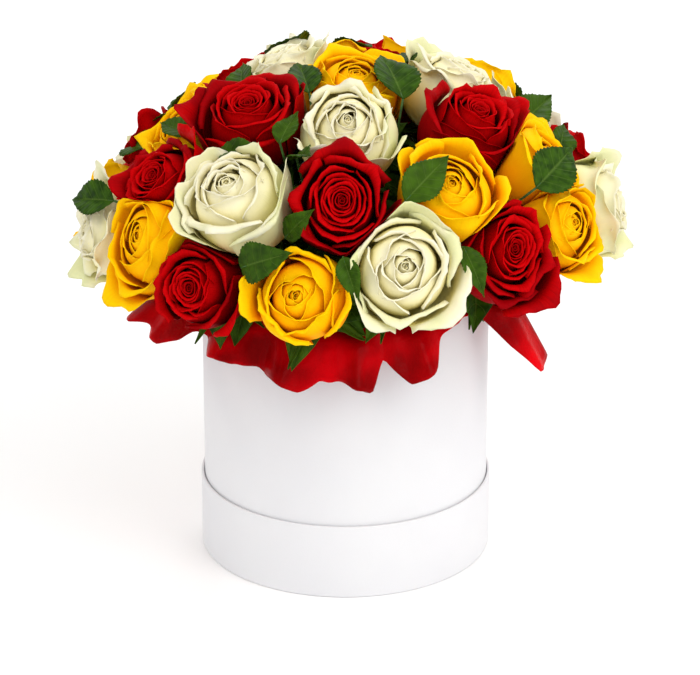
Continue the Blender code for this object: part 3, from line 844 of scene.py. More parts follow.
# %% A tube along a path
# A direction that no stem follows, to start the first ring from
ASKEW = (0.31, 0.22, 0.93)


def rings(path):
    """For each point of a path its place and two directions square to the path."""
    side = unit(np.cross(path[-1] - path[0], ASKEW))
    found = []
    for index, spot in enumerate(path):
        onward = unit(path[min(index + 1, len(path) - 1)] - path[max(index - 1, 0)])
        side = unit(side - (side @ onward) * onward)
        found.append((spot, side, np.cross(onward, side)))
    return found


def rolled_tube(bm, path, radii, sides):
    """A grid rolled round a path, its seam merged and its ends closed."""
    last = len(path) - 1
    verts = bmesh.ops.create_grid(bm, x_segments=sides, y_segments=last, size=1.0)["verts"]
    found = rings(path)
    for vert in verts:
        turn = math.pi * (vert.co.x + 1)
        index = round((vert.co.y + 1) / 2 * last)
        spot, across, rise = found[index]
        vert.co = (spot + radii[index] * (math.cos(turn) * across + math.sin(turn) * rise)) * MM
    bmesh.ops.remove_doubles(bm, verts=verts, dist=MERGE_DISTANCE)
    merged = [vert for vert in verts if vert.is_valid]
    rims = {edge for vert in merged for edge in vert.link_edges if edge.is_boundary}
    bmesh.ops.holes_fill(bm, edges=list(rims), sides=0)


print("tubes merge points closer than", MERGE_DISTANCE / MM, "mm")

# %% Stems into the foam
# radius and height of the top of the foam
FOAM_TOP = ((0.0, 244.0), (58.0, 229.0), (86.0, 206.0), (93.4, 188.0))
# latitude of a face, and how far out its stem enters the foam as a share of the face's reach
ENTRY_SHARES = ((0, 0.455), (33, 0.35), (61, 0.30), (90, 0.0))
ENTRY_LIFT = 5.5
ENTRY_BEND = 0.05
FOOT_LEVEL = 150.0
FOOT_SHARE = 0.66
PAST_FOOT = 2.5
STEM_RADIUS = 2.4
STEM_TIP = 1.3
STEM_SIDES = 10
STEM_SHARES = (0.25, 0.5, 0.75, 0.9)
# height below the head and radius
HIP = ((-0.6, 6.2), (-3.0, 6.4), (-5.0, 5.6), (-8.0, 3.3), (-11.0, 2.5))
# Stems that share one foot in the foam
GROUPS = (
    ("W5", "Y5"), ("R6", "Y4"), ("W3", "R5"), ("Y3", "W4"),
    ("A1", "A2"), ("A3", "A4"), ("A5", "A6", "A7"),
    ("Y6", "R2"), ("W1", "R3"), ("Y1", "Y2"), ("R8", "B1"),
    ("B2", "B3"), ("B4", "B5", "B6"),
    ("R1", "W2"), ("R4", "W7"), ("Y7", "R7", "C3"), ("W6", "C1", "C2"),
)


def entry_point(rose):
    """Where the stem of a rose goes into the foam."""
    share = np.interp(rose.latitude, *zip(*ENTRY_SHARES))
    flat = np.array([rose.face[0], rose.face[1]]) * share
    height = np.interp(np.linalg.norm(flat), *zip(*FOAM_TOP))
    return np.array([flat[0], flat[1], height + ENTRY_LIFT])


def stem_point(rose, share):
    """A point of the stem, from the end of the hip at 0 to the foam at 1."""
    neck = rose.base + HIP[-1][0] * rose.axis
    return neck + share * (entry_point(rose) - neck)


def foot_point(group):
    """Where the stems of a group meet, deep in the foam."""
    mean = np.mean([entry_point(roses[name]) for name in group], axis=0)
    return np.array([mean[0] * FOOT_SHARE, mean[1] * FOOT_SHARE, FOOT_LEVEL])


def add_stem(bm, rose, foot, leads):
    """A hip and its stem, which ends at the foot of the group or, if it leads, just past it."""
    entry = entry_point(rose)
    end = foot + (PAST_FOOT * unit(foot - entry) if leads else 0.0)
    path = [rose.base + height * rose.axis for height, _ in HIP]
    path += [stem_point(rose, share) for share in STEM_SHARES]
    path += [entry + ENTRY_BEND * (end - entry), end]
    radii = [radius for _, radius in HIP] + [STEM_RADIUS] * (len(STEM_SHARES) + 1)
    radii.append(STEM_RADIUS if leads else STEM_TIP)
    rolled_tube(bm, path, radii, STEM_SIDES)


print(len(GROUPS), "groups of stems")

# %% [markdown]
# ## Leaves
# Rose leaves are pointed ovals with a sawn edge. They fold a little along the midrib, arch
# towards the tip and are rippled between their side veins. A leaf could be a flat card with a
# picture whose edge is cut out, but its mesh would stay a card. So a grid takes the outline of
# the leaf, and one column at each side makes the teeth. Each leaf grows in the gap between three
# heads on a thin stalk, so its place is worked out from the line where their rooms meet.

# %% The leaves that show
# the three heads round the gap, whose stem carries it, heading, lean, length, width, lift
Leaf = namedtuple("Leaf", "first second third host heading lean length width lift")
LEAVES = [Leaf(*row) for row in (
    ("Y6", "R1", "W6", "W6", -90, 30, 34, 22, 3),
    ("R1", "R2", "Y6", "R2", -120, 30, 30, 20, 6),
    ("W5", "Y5", "R2", "Y5", -110, 20, 42, 26, 15),
    ("R1", "R2", "W1", "R1", 70, 20, 34, 18, 0),
    ("R1", "W2", "Y7", "W2", -50, 20, 40, 24, 6),
    ("R1", "W2", "W1", "W1", 0, 20, 28, 18, 3),
    ("W1", "W2", "R3", "R3", 130, 50, 30, 18, 3),
    ("W2", "R4", "Y7", "R4", 30, 20, 50, 34, 6),
    ("R4", "W7", "R8", "W7", 110, 40, 50, 28, 0),
    ("Y2", "R8", "W4", "Y2", 90, 40, 30, 20, 6),
    ("W3", "R5", "Y1", "R5", 170, 10, 34, 18, 6),
    ("R3", "Y1", "W3", "Y1", 50, 10, 44, 27, 12),
    ("R5", "Y3", "Y2", "Y3", 70, 10, 50, 34, 18),
    ("R6", "W1", "Y4", "R6", 70, 30, 44, 28, 12),
    ("Y4", "W1", "R3", "Y4", 50, 40, 30, 18, 3),
    ("R3", "Y4", "W3", "W3", 160, 10, 30, 16, 9),
    ("W7", "R7", "Y7", "R7", -170, 20, 30, 18, 9),
    ("C3", "B1", "B2", "C3", -60, 30, 42, 28, 6),
    ("C1", "B3", "B4", "C1", -40, 10, 40, 26, 12),
    ("C1", "C2", "W6", "C2", 20, 30, 40, 26, 6),
    ("C2", "B4", "B5", "B4", -60, 10, 40, 26, 15),
    ("C2", "B6", "Y6", "B6", 180, 30, 38, 26, 3),
    ("A2", "B1", "B2", "A2", 60, 5, 38, 24, 18),
    ("A3", "B2", "B3", "A3", -60, 5, 42, 28, 18),
    ("A4", "B3", "B4", "A4", 50, 25, 42, 26, 9),
    ("A6", "B5", "B6", "A6", -60, 20, 36, 22, 12),
    ("A7", "B6", "Y6", "A7", -120, 20, 38, 26, 9),
)]
print(len(LEAVES), "leaves show between the heads")

# %% Where a blade lies
Blade = namedtuple("Blade", "start forward upward length width")
LEAF_DEPTH = 12.0


def tilted(flat, normal, rise):
    """Forward and upward directions of a blade that rises from a flat direction."""
    tilt = math.radians(rise)
    forward = math.cos(tilt) * flat + math.sin(tilt) * normal
    return forward, math.cos(tilt) * normal - math.sin(tilt) * flat


def gap_line(leaf):
    """A point and the outward direction of the line where three heads' rooms meet."""
    heads = [roses[name] for name in (leaf.first, leaf.second, leaf.third)]
    normals, offsets = zip(*(parting_plane(heads[0], other) for other in heads[1:]))
    along = unit(np.cross(*normals))
    if along @ np.mean([head.axis for head in heads], axis=0) < 0:
        along = -along
    level = np.mean([head.face for head in heads], axis=0) @ along
    return np.linalg.solve(np.array([*normals, along]), np.array([*offsets, level])), along


def leaf_blade(leaf):
    """Its heading is a turn from upward on the dome, and its lean how far it rises from there."""
    point, along = gap_line(leaf)
    dome_up = unit(np.array([0, 0, 1.0]) - along[2] * along)
    dome_side = -np.cross(along, dome_up)
    turn = math.radians(leaf.heading)
    flat = math.cos(turn) * dome_up + math.sin(turn) * dome_side
    start = point + (leaf.lift - LEAF_DEPTH) * along
    return Blade(start, *tilted(flat, along, leaf.lean), leaf.length, leaf.width)


print("first blade starts at", leaf_blade(LEAVES[0]).start.round(1))

# %% The shape of a blade
LEAF_FOLD = (22.0, 40.0)
FOLD_EASE = 0.35
LEAF_TWIST = 0.22
LEAF_DROOP = (0.12, 0.28)
LEAF_TEETH = 16
TOOTH_DEPTH = 0.11
STALK_WIDTH = 0.03
INNER_WIDTH = 0.93
EDGE_COLUMN = 0.99
NEAR_TIP = 0.9999
OVAL_POWER = 0.72
OVAL_TAPER = 0.3
SIDE_VEINS = 6.5
VEIN_LEAN = 1.1
VEIN_RELIEF = 0.35
WAVES_ALONG = 9.0
WAVE_RELIEF = 0.9
WAVE_LUCK = 5.0
OTHER_SIDE = 2.0


def leaf_oval(share):
    """A pointed oval, widest below its middle."""
    return np.sin(math.pi * share ** OVAL_POWER) * (1 - OVAL_TAPER * share ** 4)


def sawn_edge(share):
    """Half width of a leaf at its edge, as a share of its greatest half width."""
    tooth = (share * LEAF_TEETH) % 1.0
    return leaf_oval(share) * (1 - TOOTH_DEPTH * (1 - tooth)) + STALK_WIDTH * (1 - share)


def blade_points(blade, grid, chance):
    """Where the points of a leaf's grid go."""
    twist = chance.uniform(-LEAF_TWIST, LEAF_TWIST)
    fold = math.tan(math.radians(chance.uniform(*LEAF_FOLD)))
    droop = chance.uniform(*LEAF_DROOP)
    along = grid.along
    share = np.minimum(along, NEAR_TIP)
    edge = np.abs(grid.across)
    half = np.where(edge > EDGE_COLUMN, sawn_edge(share), INNER_WIDTH * leaf_oval(share))
    reach = grid.across * (blade.width / 2 * half)
    veins = VEIN_RELIEF * np.sin(2 * math.pi * (SIDE_VEINS * along - VEIN_LEAN * edge))
    phase = WAVE_LUCK * grid.luck + OTHER_SIDE * (grid.across > 0)
    waves = WAVE_RELIEF * np.sin(WAVES_ALONG * along + phase) * edge ** 2
    height = np.abs(reach) * fold * (1 - FOLD_EASE * edge) + veins * np.sqrt(edge) + waves
    height = height + twist * reach * along - droop * blade.length * along ** 2
    spine = blade.start + (blade.length * along)[:, None] * blade.forward
    side = np.cross(blade.forward, blade.upward)
    return (spine + reach[:, None] * side + height[:, None] * blade.upward) * MM


def add_blade(bm, blade, size, chance):
    grid = Grid(bm, *size, chance)
    grid.move(blade_points(blade, grid, chance))


print("a leaf has", LEAF_TEETH, "teeth on each side")

# %% Leaves between the heads
LEAF_THICK = 0.5 * MM
LEAF_GRID = (12, 48)
LEAF_NEAR = 85.0
LEAF_SEED = 500
PETIOLE_RADIUS = 0.8
PETIOLE_TIP = 0.4
PETIOLE_SIDES = 8
PETIOLE_DEPTH = 46.0
PETIOLE_JOINT = 0.45
PETIOLE_RISE = 12.0
PETIOLE_ON_LEAF = 0.12


def add_leaf(bm, leaf):
    chance = np.random.default_rng(LEAF_SEED + LEAVES.index(leaf))
    add_blade(bm, leaf_blade(leaf), LEAF_GRID, chance)


def show_leaf_to_heads(leaf):
    """Tells the heads near a leaf where its blade is."""
    bm = marked_mesh("across", "along", "luck")
    add_leaf(bm, leaf)
    tree = BVHTree.FromBMesh(bm)
    bm.free()
    for rose in roses.values():
        if np.linalg.norm(rose.centre - leaf_blade(leaf).start) < LEAF_NEAR:
            rose.leaves.append(tree)


def add_petiole(bm, leaf):
    """The thin stalk that goes from the stem up through the gap and on under the blade."""
    blade = leaf_blade(leaf)
    point, along = gap_line(leaf)
    joint = stem_point(roses[leaf.host], PETIOLE_JOINT)
    depth = min(PETIOLE_DEPTH, (point - joint) @ along - PETIOLE_RISE)
    inner = point - depth * along
    tip = blade.start + PETIOLE_ON_LEAF * blade.length * blade.forward
    path = [joint, (joint + inner) / 2, inner, (inner + blade.start) / 2, blade.start, tip]
    radii = [PETIOLE_RADIUS] * (len(path) - 1) + [PETIOLE_TIP]
    rolled_tube(bm, path, radii, PETIOLE_SIDES)


print("a leaf has", LEAF_GRID[0] * LEAF_GRID[1], "faces")

# %% [markdown]
# ## What hides under the heads
# From the side, dark gaps would show between the heads and the sheet. In real bouquets the lower
# leaves of the stems fill them, and five narrow sepals hang from each hip. They could be left
# out, as hardly any is seen whole, but without their tips and shadows the heads would float. The
# leaves use the same blade with fewer points and a turn by chance. A sepal is a narrow grid laid
# along the underside of its head.

# %% Lower leaves
# share of the way down the stem, number of leaves
LOWER_TIERS = ((0.02, 4), (0.5, 3))
LOWER_GRID = (6, 15)
LOWER_LENGTH = (38.0, 50.0)
LOWER_WIDTH = 0.62
LOWER_RISE = (2.0, 30.0)
LOWER_TURN_LUCK = 0.3
LOWER_START = 1.5


def add_lower_leaves(bm, rose, chance):
    """Leaves low on the stem, which close the gaps under the heads."""
    for share, number in LOWER_TIERS:
        joint = stem_point(rose, share)
        start_turn = chance.uniform(0, 2 * math.pi)
        for step in range(number):
            luck = chance.uniform(-LOWER_TURN_LUCK, LOWER_TURN_LUCK)
            spoke = rose.spoke(start_turn + 2 * math.pi * step / number + luck)
            forward, upward = tilted(spoke, rose.axis, chance.uniform(*LOWER_RISE))
            length = chance.uniform(*LOWER_LENGTH)
            start = joint + LOWER_START * spoke
            blade = Blade(start, forward, upward, length, LOWER_WIDTH * length)
            add_blade(bm, blade, LOWER_GRID, chance)


print(sum(number for _, number in LOWER_TIERS), "lower leaves on each stem")

# %% Sepals
SEPALS = 5
SEPAL_GRID = (4, 10)
SEPAL_START = 5.0
SEPAL_REACH = 46.0
SEPAL_REACH_LUCK = (0.8, 1.05)
SEPAL_LEVEL = -2.5
SEPAL_DROP = -7.0
SEPAL_DROP_SPAN = 0.62
SEPAL_WIDTH = 6.5
SEPAL_FOOT = 0.20
SEPAL_TIP = 0.25
SEPAL_OVAL_POWER = 0.9
SEPAL_POINT_POWER = 1.1
SEPAL_KEEL = 1.2
SEPAL_CURL = 5.0
SEPAL_CURL_LUCK = 0.2
SEPAL_SWING = 0.15


def sepal_half(along):
    """Half width of a sepal along its length, widest in its lower half."""
    share = SEPAL_FOOT + (1 - SEPAL_FOOT) * along
    oval = np.sin(math.pi * share ** SEPAL_OVAL_POWER) ** SEPAL_POINT_POWER
    return SEPAL_WIDTH / 2 * oval + SEPAL_TIP


def add_sepal(bm, rose, turn, chance):
    """A narrow pointed sepal that starts on the hip and follows the underside of the head."""
    grid = Grid(bm, *SEPAL_GRID, chance)
    across, along = grid.across, grid.along
    end = SEPAL_REACH * chance.uniform(*SEPAL_REACH_LUCK)
    reach = SEPAL_START + (end - SEPAL_START) * along
    swing = SEPAL_SWING * (grid.luck - 0.5) * along
    angle = turn + across * sepal_half(along) / reach + swing
    drop = SEPAL_DROP * np.sin(math.pi * SEPAL_DROP_SPAN * along)
    curl = SEPAL_CURL * (grid.luck - SEPAL_CURL_LUCK) * along ** 3
    height = SEPAL_LEVEL + drop + curl + SEPAL_KEEL * np.abs(across)
    grid.move(head_points(rose, reach, angle, height) * MM)


print(SEPALS, "sepals under each head")

# %% [markdown]
# ## Finishes of leaf and stem
# A rose leaf is deep green and a little glossy, mottled, and paler along its ribs. The ribs could
# be cut into the mesh, but they are finer than its faces. So the finish draws them from the
# numbers on the mesh, in step with the ripples of the blade, and sinks them with a bump. Stems
# are smoother and need only a fine grain.

# %% Leaf and stem materials
LEAF_DARK = (0.010, 0.034, 0.002)
LEAF_LIGHT = (0.036, 0.092, 0.004)
LEAF_FRESH = (0.070, 0.140, 0.006)
LEAF_RIBS = (0.11, 0.19, 0.030)
STEM_DARK = (0.020, 0.080, 0.014)
STEM_LIGHT = (0.055, 0.150, 0.030)
# Scale and detail of the noises, depth and strength of the reliefs
LEAF_MOTTLE = (160.0, 3.0)
LEAF_RELIEF = (0.8 * MM, 0.6)
STEM_GRAIN = (220.0, 3.0)
STEM_RELIEF = (0.6 * MM, 0.5)
# Where veins and midrib begin and end, and their share in the colour and in the relief
VEIN_EDGE = (0.44, 0.5)
MIDRIB_EDGE = (0.10, 0.0)
VEIN_SHARE = 0.35
MIDRIB_SHARE = 0.5
VEIN_LIFT = -0.6
MOTTLE_LIFT = 0.5
FRESH_SHARE = 0.35


def leaf_finish():
    look = Finish("rose leaf")
    across = look.attribute("across")
    along = look.attribute("along")
    luck = look.attribute("luck")
    side = across.math("ABSOLUTE")
    ribs = (along * SIDE_VEINS - side * VEIN_LEAN).math("FRACT")
    veins = (ribs - 0.5).math("ABSOLUTE").ramp(*VEIN_EDGE)
    midrib = side.ramp(*MIDRIB_EDGE)
    mottle = look.noise(look.place(), *LEAF_MOTTLE)
    colour = look.mottled(mottle, LEAF_DARK, LEAF_LIGHT)
    colour = look.mix(luck * FRESH_SHARE, colour, LEAF_FRESH)
    colour = look.mix(veins * VEIN_SHARE + midrib * MIDRIB_SHARE, colour, LEAF_RIBS)
    relief = look.bump(veins * VEIN_LIFT - midrib + mottle * MOTTLE_LIFT, *LEAF_RELIEF)
    look.surface(Base_Color=colour, Roughness=mottle * 0.2 + 0.30, Normal=relief)
    return look.surface(Specular_IOR_Level=0.06)


def stem_finish():
    look = Finish("rose stem")
    grain = look.noise(look.place(), *STEM_GRAIN)
    colour = look.mottled(grain, STEM_DARK, STEM_LIGHT)
    look.surface(Base_Color=colour, Roughness=grain * 0.2 + 0.4, Specular_IOR_Level=0.4)
    return look.surface(Normal=look.bump(grain, *STEM_RELIEF))


leaf_material = leaf_finish()
stem_material = stem_finish()
print("green materials", leaf_material.name, "and", stem_material.name)

# %% Make the greens
GREENS_SEED = 700


def make_greens(number, group):
    """The stems of one group with their sepals and leaves, as two pieces for one node."""
    chance = np.random.default_rng(GREENS_SEED + number)
    foot = foot_point(group)
    stem_bm = bmesh.new()
    leaf_bm = marked_mesh("across", "along", "luck")
    for name in group:
        add_stem(stem_bm, roses[name], foot, name == group[0])
        for step in range(SEPALS):
            add_sepal(leaf_bm, roses[name], 2 * math.pi * (step + 0.5) / SEPALS, chance)
        add_lower_leaves(leaf_bm, roses[name], chance)
    for leaf in LEAVES:
        if leaf.host in group:
            add_leaf(leaf_bm, leaf)
            show_leaf_to_heads(leaf)
            add_petiole(stem_bm, leaf)
    bmesh.ops.recalc_face_normals(stem_bm, faces=stem_bm.faces)
    node = f"greens_{number:02d}"
    finish_piece(f"stems_{number:02d}", stem_bm, stem_material, node, "leaf_green")
    leaves = finish_piece(f"leaves_{number:02d}", leaf_bm, leaf_material, node, "leaf_green")
    thicken(leaves, LEAF_THICK)
    return len(leaves.data.polygons)


faces = sum(make_greens(number, group) for number, group in enumerate(GROUPS, 1))
print(faces, "faces in the leaves of", len(GROUPS), "groups")

# %% [markdown]
# ## The heads go in last
# In a bouquet leaf and petal touch and neither cuts the other. A Boolean could trim the petals
# at each leaf, but would leave straight cuts. So the leaves are laid first and the heads grow
# after them, and each petal point that would lie beyond a leaf is pressed back behind it.

# %% Make the heads
counts = {colour: 0 for colour in PETALS}
faces = 0
for rose in roses.values():
    counts[rose.colour] += 1
    faces += make_head(rose, f"rose_{rose.colour}_{counts[rose.colour]:02d}")
print(faces, "faces in the petals of", counts)

# %% [markdown]
# ## The red sheet
# A red satin sheet is tucked inside the rim and falls over it in soft corners. Cloth could be
# simulated, but the heads hold this sheet down and its corners fall where the photograph shows
# them. So its loose edge is a line of points round the box; between them it bends smoothly, with
# folds that grow outward. A little smoothing rounds the folds, as the thickness of cloth does.

# %% The section of the sheet
SHEET_INNER = ((94.3, 178.0), (94.9, 200.6), (102.0, 204.6))
SHEET_MIDDLE = (0.50, 0.26)
# how far out on the sheet each point of its section lies
SHEET_MARKS = (0.0, 0.22, 0.32, 0.66, 1.0)
# azimuth, reach and height of the loose edge
SHEET_EDGE = (
    (0, 128, 168), (8, 134, 164), (12, 122, 181), (20, 130, 166), (28, 128, 176), (38, 116, 196),
    (50, 108, 202), (56, 122, 186), (64, 145, 147), (73, 143, 157), (79, 128, 184), (88, 140, 172),
    (98, 128, 188), (108, 142, 168), (120, 132, 176), (128, 122, 190), (138, 140, 166),
    (148, 130, 182), (160, 142, 168), (170, 124, 188), (182, 136, 164), (194, 130, 180),
    (204, 142, 167), (216, 124, 188), (228, 140, 165), (240, 128, 184), (250, 142, 168),
    (262, 130, 188), (274, 144, 172), (284, 150, 176), (296, 140, 172), (306, 126, 182),
    (318, 130, 176), (332, 126, 172), (346, 132, 162), (352, 126, 170),
)


def sheet_section(azimuth):
    """Points from the tucked edge over the rim to the loose edge, as reach and height."""
    azimuths, reaches, heights = zip(*SHEET_EDGE)
    edge = [np.interp(azimuth, azimuths, sizes, period=360) for sizes in (reaches, heights)]
    crest = SHEET_INNER[-1]
    middle = [top + share * (end - top) for top, share, end in zip(crest, SHEET_MIDDLE, edge)]
    return [*SHEET_INNER, middle, edge]


print("the sheet in front ends at", np.round(sheet_section(0)[-1], 1))

# %% Folds that grow outward
# number of folds round the box, size, phase
LEVEL_FOLDS = ((13, 2.8, 0.4), (21, 2.4, 2.0), (34, 1.8, 1.0), (55, 0.9, 3.0))
REACH_FOLDS = ((17, 9.0, 0.8), (31, 5.0, 0.0))
FOLDS_START = 0.34
FOLDS_POWER = 1.2


def crease(turn, count, size, phase):
    """A fold with a sharp crest and a sharp valley, as creased cloth has."""
    return size * 2 / math.pi * math.asin(math.sin(count * turn + phase))


def sheet_point(azimuth, share):
    """A point of the sheet, from its tucked edge at 0 to its loose edge at 1."""
    reaches, levels = zip(*sheet_section(azimuth))
    turn = math.radians(azimuth)
    swell = max(0.0, share - FOLDS_START) ** FOLDS_POWER
    reach = np.interp(share, SHEET_MARKS, reaches)
    reach += swell * sum(crease(turn, *fold) for fold in REACH_FOLDS)
    spot = reach * direction(azimuth, 0)
    spot[2] = np.interp(share, SHEET_MARKS, levels)
    spot[2] += swell * sum(crease(turn, *fold) for fold in LEVEL_FOLDS)
    return spot * MM


print(len(LEVEL_FOLDS) + len(REACH_FOLDS), "rows of folds")

# %% [markdown]
# ## The satin
# Satin is smooth and closely woven, bright where it lies flat to the light and deep red in its
# hollows. A picture of cloth could be laid on, but it would repeat round the box. Here three
# noises do it: a wide one paints patches of light and shade into the red, by chance and not where
# the folds lie, a finer one creases the surface, the finest is weave.

# %% The look of the satin
# Painted shade and painted light, mixed in broad random patches over the satin's red
SATIN_PAINTED_SHADE = (0.25, 0.000, 0.001)
SATIN_PAINTED_LIGHT = (0.74, 0.000, 0.004)
# Scale and detail of each noise, for the creases also roughness
SATIN_SHADING_PATCHES = (26.0, 2.0)
SATIN_CREASES = (70.0, 3.0, 0.6)
SATIN_WEAVE = (1400.0, 2.0)
SHADING_PATCH_EDGE = (0.34, 0.66)
WEAVE_SHARE = 0.05
SATIN_RELIEF = (3 * MM, 0.35)


def satin_finish():
    look = Finish("red satin")
    place = look.place()
    cloud = look.noise(place, *SATIN_SHADING_PATCHES)
    creases = look.noise(place, *SATIN_CREASES)
    weave = look.noise(place, *SATIN_WEAVE)
    # painted light and shade in broad random patches
    colour = look.mix(cloud.ramp(*SHADING_PATCH_EDGE), SATIN_PAINTED_SHADE, SATIN_PAINTED_LIGHT)
    relief = look.bump(weave * WEAVE_SHARE + creases, *SATIN_RELIEF)
    look.surface(Roughness=0.26, Specular_IOR_Level=0.03)
    return look.surface(Base_Color=colour, Normal=relief)


satin = satin_finish()
print("the sheet wears", satin.name)

# %% Make the sheet
SHEET_THICK = 0.6 * MM
SHEET_COLUMNS = 360
SHEET_ROWS = 26
SMOOTH_START = 0.36
SMOOTH_STEPS = 2
SMOOTH_SHARE = 0.35


def sheet_mesh():
    bm = marked_mesh("outward")
    outward = bm.verts.layers.float["outward"]
    made = bmesh.ops.create_grid(bm, x_segments=SHEET_COLUMNS, y_segments=SHEET_ROWS, size=1.0)
    for vert in made["verts"]:
        vert[outward] = (vert.co.y + 1) / 2
        vert.co = sheet_point(180 * (vert.co.x + 1), (vert.co.y + 1) / 2)
    bmesh.ops.remove_doubles(bm, verts=bm.verts, dist=MERGE_DISTANCE)
    loose = [vert for vert in bm.verts if vert[outward] > SMOOTH_START]
    for _ in range(SMOOTH_STEPS):
        bmesh.ops.smooth_vert(
            bm, verts=loose, factor=SMOOTH_SHARE,
            use_axis_x=True, use_axis_y=True, use_axis_z=True,
        )
    bmesh.ops.recalc_face_normals(bm, faces=bm.faces)
    return bm


sheet = finish_piece("red_sheet_fine", sheet_mesh(), satin, "red_sheet", "red_cloth")
thicken(sheet, SHEET_THICK)
print("sheet area", round(sum(face.area for face in sheet.data.polygons), 4), "square metres")

# %% [markdown]
# ## The box
# A hat box is rolled card covered in smooth white paper. It could be cylinders with bevelled
# edges. Here the profile of each part is drawn once, as a thin wall with rounded edges, and spun
# about the middle, which rounds every edge by its own radius. The lid is worn under the box and
# is a little wider, so a fine dark line shows between them.

# %% The section of a card cup
CARD = 2.0
FOOT_ROUNDING = 0.8
INSIDE_ROUNDING = 0.5
CORNER_POINTS = 6
SPIN_STEPS = 128


def rounded_corner(centre, radius, start, end):
    """Points of a small arc in the profile, with angles in degrees."""
    turns = np.radians(np.linspace(start, end, CORNER_POINTS))
    return [(centre[0] + radius * math.cos(t), centre[1] + radius * math.sin(t)) for t in turns]


def cup_outline(outer, foot, top):
    """Profile of a card cup from the middle of its foot round the rim to the middle inside."""
    floor_level = foot + CARD
    corner = (outer - FOOT_ROUNDING, foot + FOOT_ROUNDING)
    rim = (outer - CARD / 2, top - CARD / 2)
    inside = (outer - CARD - INSIDE_ROUNDING, floor_level + INSIDE_ROUNDING)
    return [
        (0.0, foot),
        *rounded_corner(corner, FOOT_ROUNDING, -90, 0),
        *rounded_corner(rim, CARD / 2, 0, 180),
        *rounded_corner(inside, INSIDE_ROUNDING, 0, -90),
        (0.0, floor_level),
    ]


def spin_outline(outline):
    bm = bmesh.new()
    verts = [bm.verts.new(Vector((radius, 0.0, height)) * MM) for radius, height in outline]
    edges = [bm.edges.new(pair) for pair in zip(verts, verts[1:])]
    bmesh.ops.spin(
        bm, geom=verts + edges, cent=(0, 0, 0), axis=(0, 0, 1), angle=2 * math.pi,
        steps=SPIN_STEPS, use_merge=True,
    )
    bmesh.ops.remove_doubles(bm, verts=bm.verts, dist=MERGE_DISTANCE)
    bmesh.ops.recalc_face_normals(bm, faces=bm.faces)
    return bm


print("a card cup is spun in", SPIN_STEPS, "steps")

# %% Make the box and its lid
CUPS = {
    "box_body": {"outer": 99.0, "foot": 2.4, "top": 200.0},
    "box_lid": {"outer": 101.5, "foot": 0.0, "top": 53.0},
}
CARD_SHADE = (0.76, 0.76, 0.78)
CARD_WHITE = (0.79, 0.79, 0.805)
# Scale and detail of the noises, depth and strength of the relief
CARD_FIBRE = (700.0, 4.0)
CARD_CLOUD = (12.0, 2.0)
CARD_RELIEF = (0.3 * MM, 0.25)


def card_finish():
    look = Finish("white card")
    place = look.place()
    fibre = look.noise(place, *CARD_FIBRE)
    cloud = look.noise(place, *CARD_CLOUD)
    colour = look.mottled(cloud, CARD_SHADE, CARD_WHITE)
    look.surface(Base_Color=colour, Roughness=fibre * 0.12 + 0.46, Specular_IOR_Level=0.4)
    return look.surface(Normal=look.bump(fibre, *CARD_RELIEF))


card = card_finish()
for name, sizes in CUPS.items():
    finish_piece(name + "_fine", spin_outline(cup_outline(**sizes)), card, name, "white_card")
    print(name, sizes)

# %% [markdown]
# ## Foam and film
# Soaked green foam fills the box and holds the stems, and a clear film keeps the card dry. Both
# could be built anew, but they show only in the gaps between the heads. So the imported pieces
# stay, and only get a finish: fine open cells make the foam dull, and the film is hardly seen.

# %% Foam and film materials
FOAM_DARK = (0.012, 0.045, 0.014)
FOAM_LIGHT = (0.035, 0.10, 0.035)
FILM_GREY = (0.80, 0.84, 0.84)
FILM_WHITE = (0.92, 0.94, 0.94)
# Scale and detail of the noises, depth and strength of the relief
FOAM_CELLS = (900.0, 4.0)
FOAM_RELIEF = (1 * MM, 0.8)
FILM_HAZE = (60.0, 2.0)


def foam_finish():
    look = Finish("wet foam")
    cells = look.noise(look.place(), *FOAM_CELLS)
    colour = look.mottled(cells, FOAM_DARK, FOAM_LIGHT)
    return look.surface(Base_Color=colour, Roughness=0.9, Normal=look.bump(cells, *FOAM_RELIEF))


def film_finish():
    look = Finish("clear film")
    haze = look.noise(look.place(), *FILM_HAZE)
    colour = look.mix(haze, FILM_GREY, FILM_WHITE)
    return look.surface(Base_Color=colour, Roughness=0.12, Alpha=0.35)


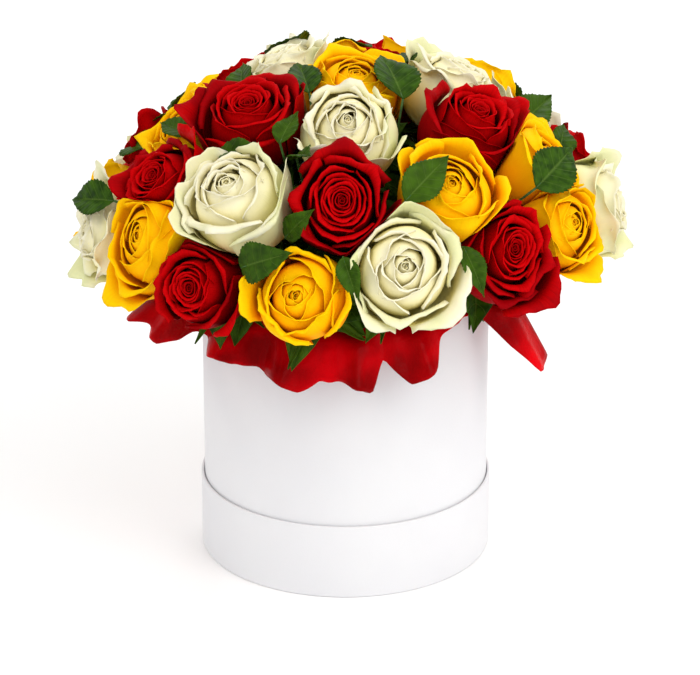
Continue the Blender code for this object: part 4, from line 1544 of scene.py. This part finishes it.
for name, material in (("foam", foam_finish()), ("film_cup", film_finish())):
    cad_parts[name].data.materials.clear()
    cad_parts[name].data.materials.append(material)
    print(name, "wears", material.name)

# %% [markdown]
# ## Floor and light
# The photograph is a bright studio picture on white with hardly a shadow. One lamp would leave
# hard shadows between the petals. So a big soft light hangs high at the front right, a weaker
# one fills the front left, a third lights the back, and the white sky does the rest. The pale
# floor is only a stage and isn't part of the object.

# %% Floor
FLOOR_HALF = 6.0
FLOOR_LEVEL = -0.0002

floor_mesh = bpy.data.meshes.new("floor")
floor_bm = bmesh.new()
bmesh.ops.create_grid(floor_bm, x_segments=1, y_segments=1, size=FLOOR_HALF)
floor_bm.to_mesh(floor_mesh)
floor_bm.free()
floor = bpy.data.objects.new("floor", floor_mesh)
floor.location = (0.0, 0.0, FLOOR_LEVEL)
scene.collection.objects.link(floor)
floor_look = Finish("pale floor")
floor_mesh.materials.append(floor_look.surface(Base_Color=(0.97, 0.97, 0.97), Roughness=0.9))
print("floor", 2 * FLOOR_HALF, "metres wide")

# %% Lights and sky
# name, place, what it lights, size, power
LIGHTS = (
    ("key", (1.5, -1.4, 1.9), (0.0, 0.0, 0.20), 1.5, 28.0),
    ("fill", (-1.2, -1.3, 2.3), (0.0, 0.0, 0.30), 1.0, 11.0),
    ("back", (0.3, 1.8, 1.8), (0.0, 0.0, 0.25), 1.2, 12.0),
)
SKY_STRENGTH = 0.85


def soft_light(name, place, aim, size, power):
    data = bpy.data.lights.new(name, "AREA")
    data.shape = "SQUARE"
    data.size = size
    data.energy = power
    light = bpy.data.objects.new(name, data)
    light.location = place
    light.rotation_euler = (Vector(aim) - Vector(place)).to_track_quat("-Z", "Y").to_euler()
    scene.collection.objects.link(light)


for row in LIGHTS:
    soft_light(*row)
world = bpy.data.worlds.new("studio")
world.use_nodes = True
sky = world.node_tree.nodes["Background"]
sky.inputs["Color"].default_value = (1.0, 1.0, 1.0, 1.0)
sky.inputs["Strength"].default_value = SKY_STRENGTH
scene.world = world
scene.view_settings.view_transform = "Standard"
print(len(LIGHTS), "lights and a white sky")
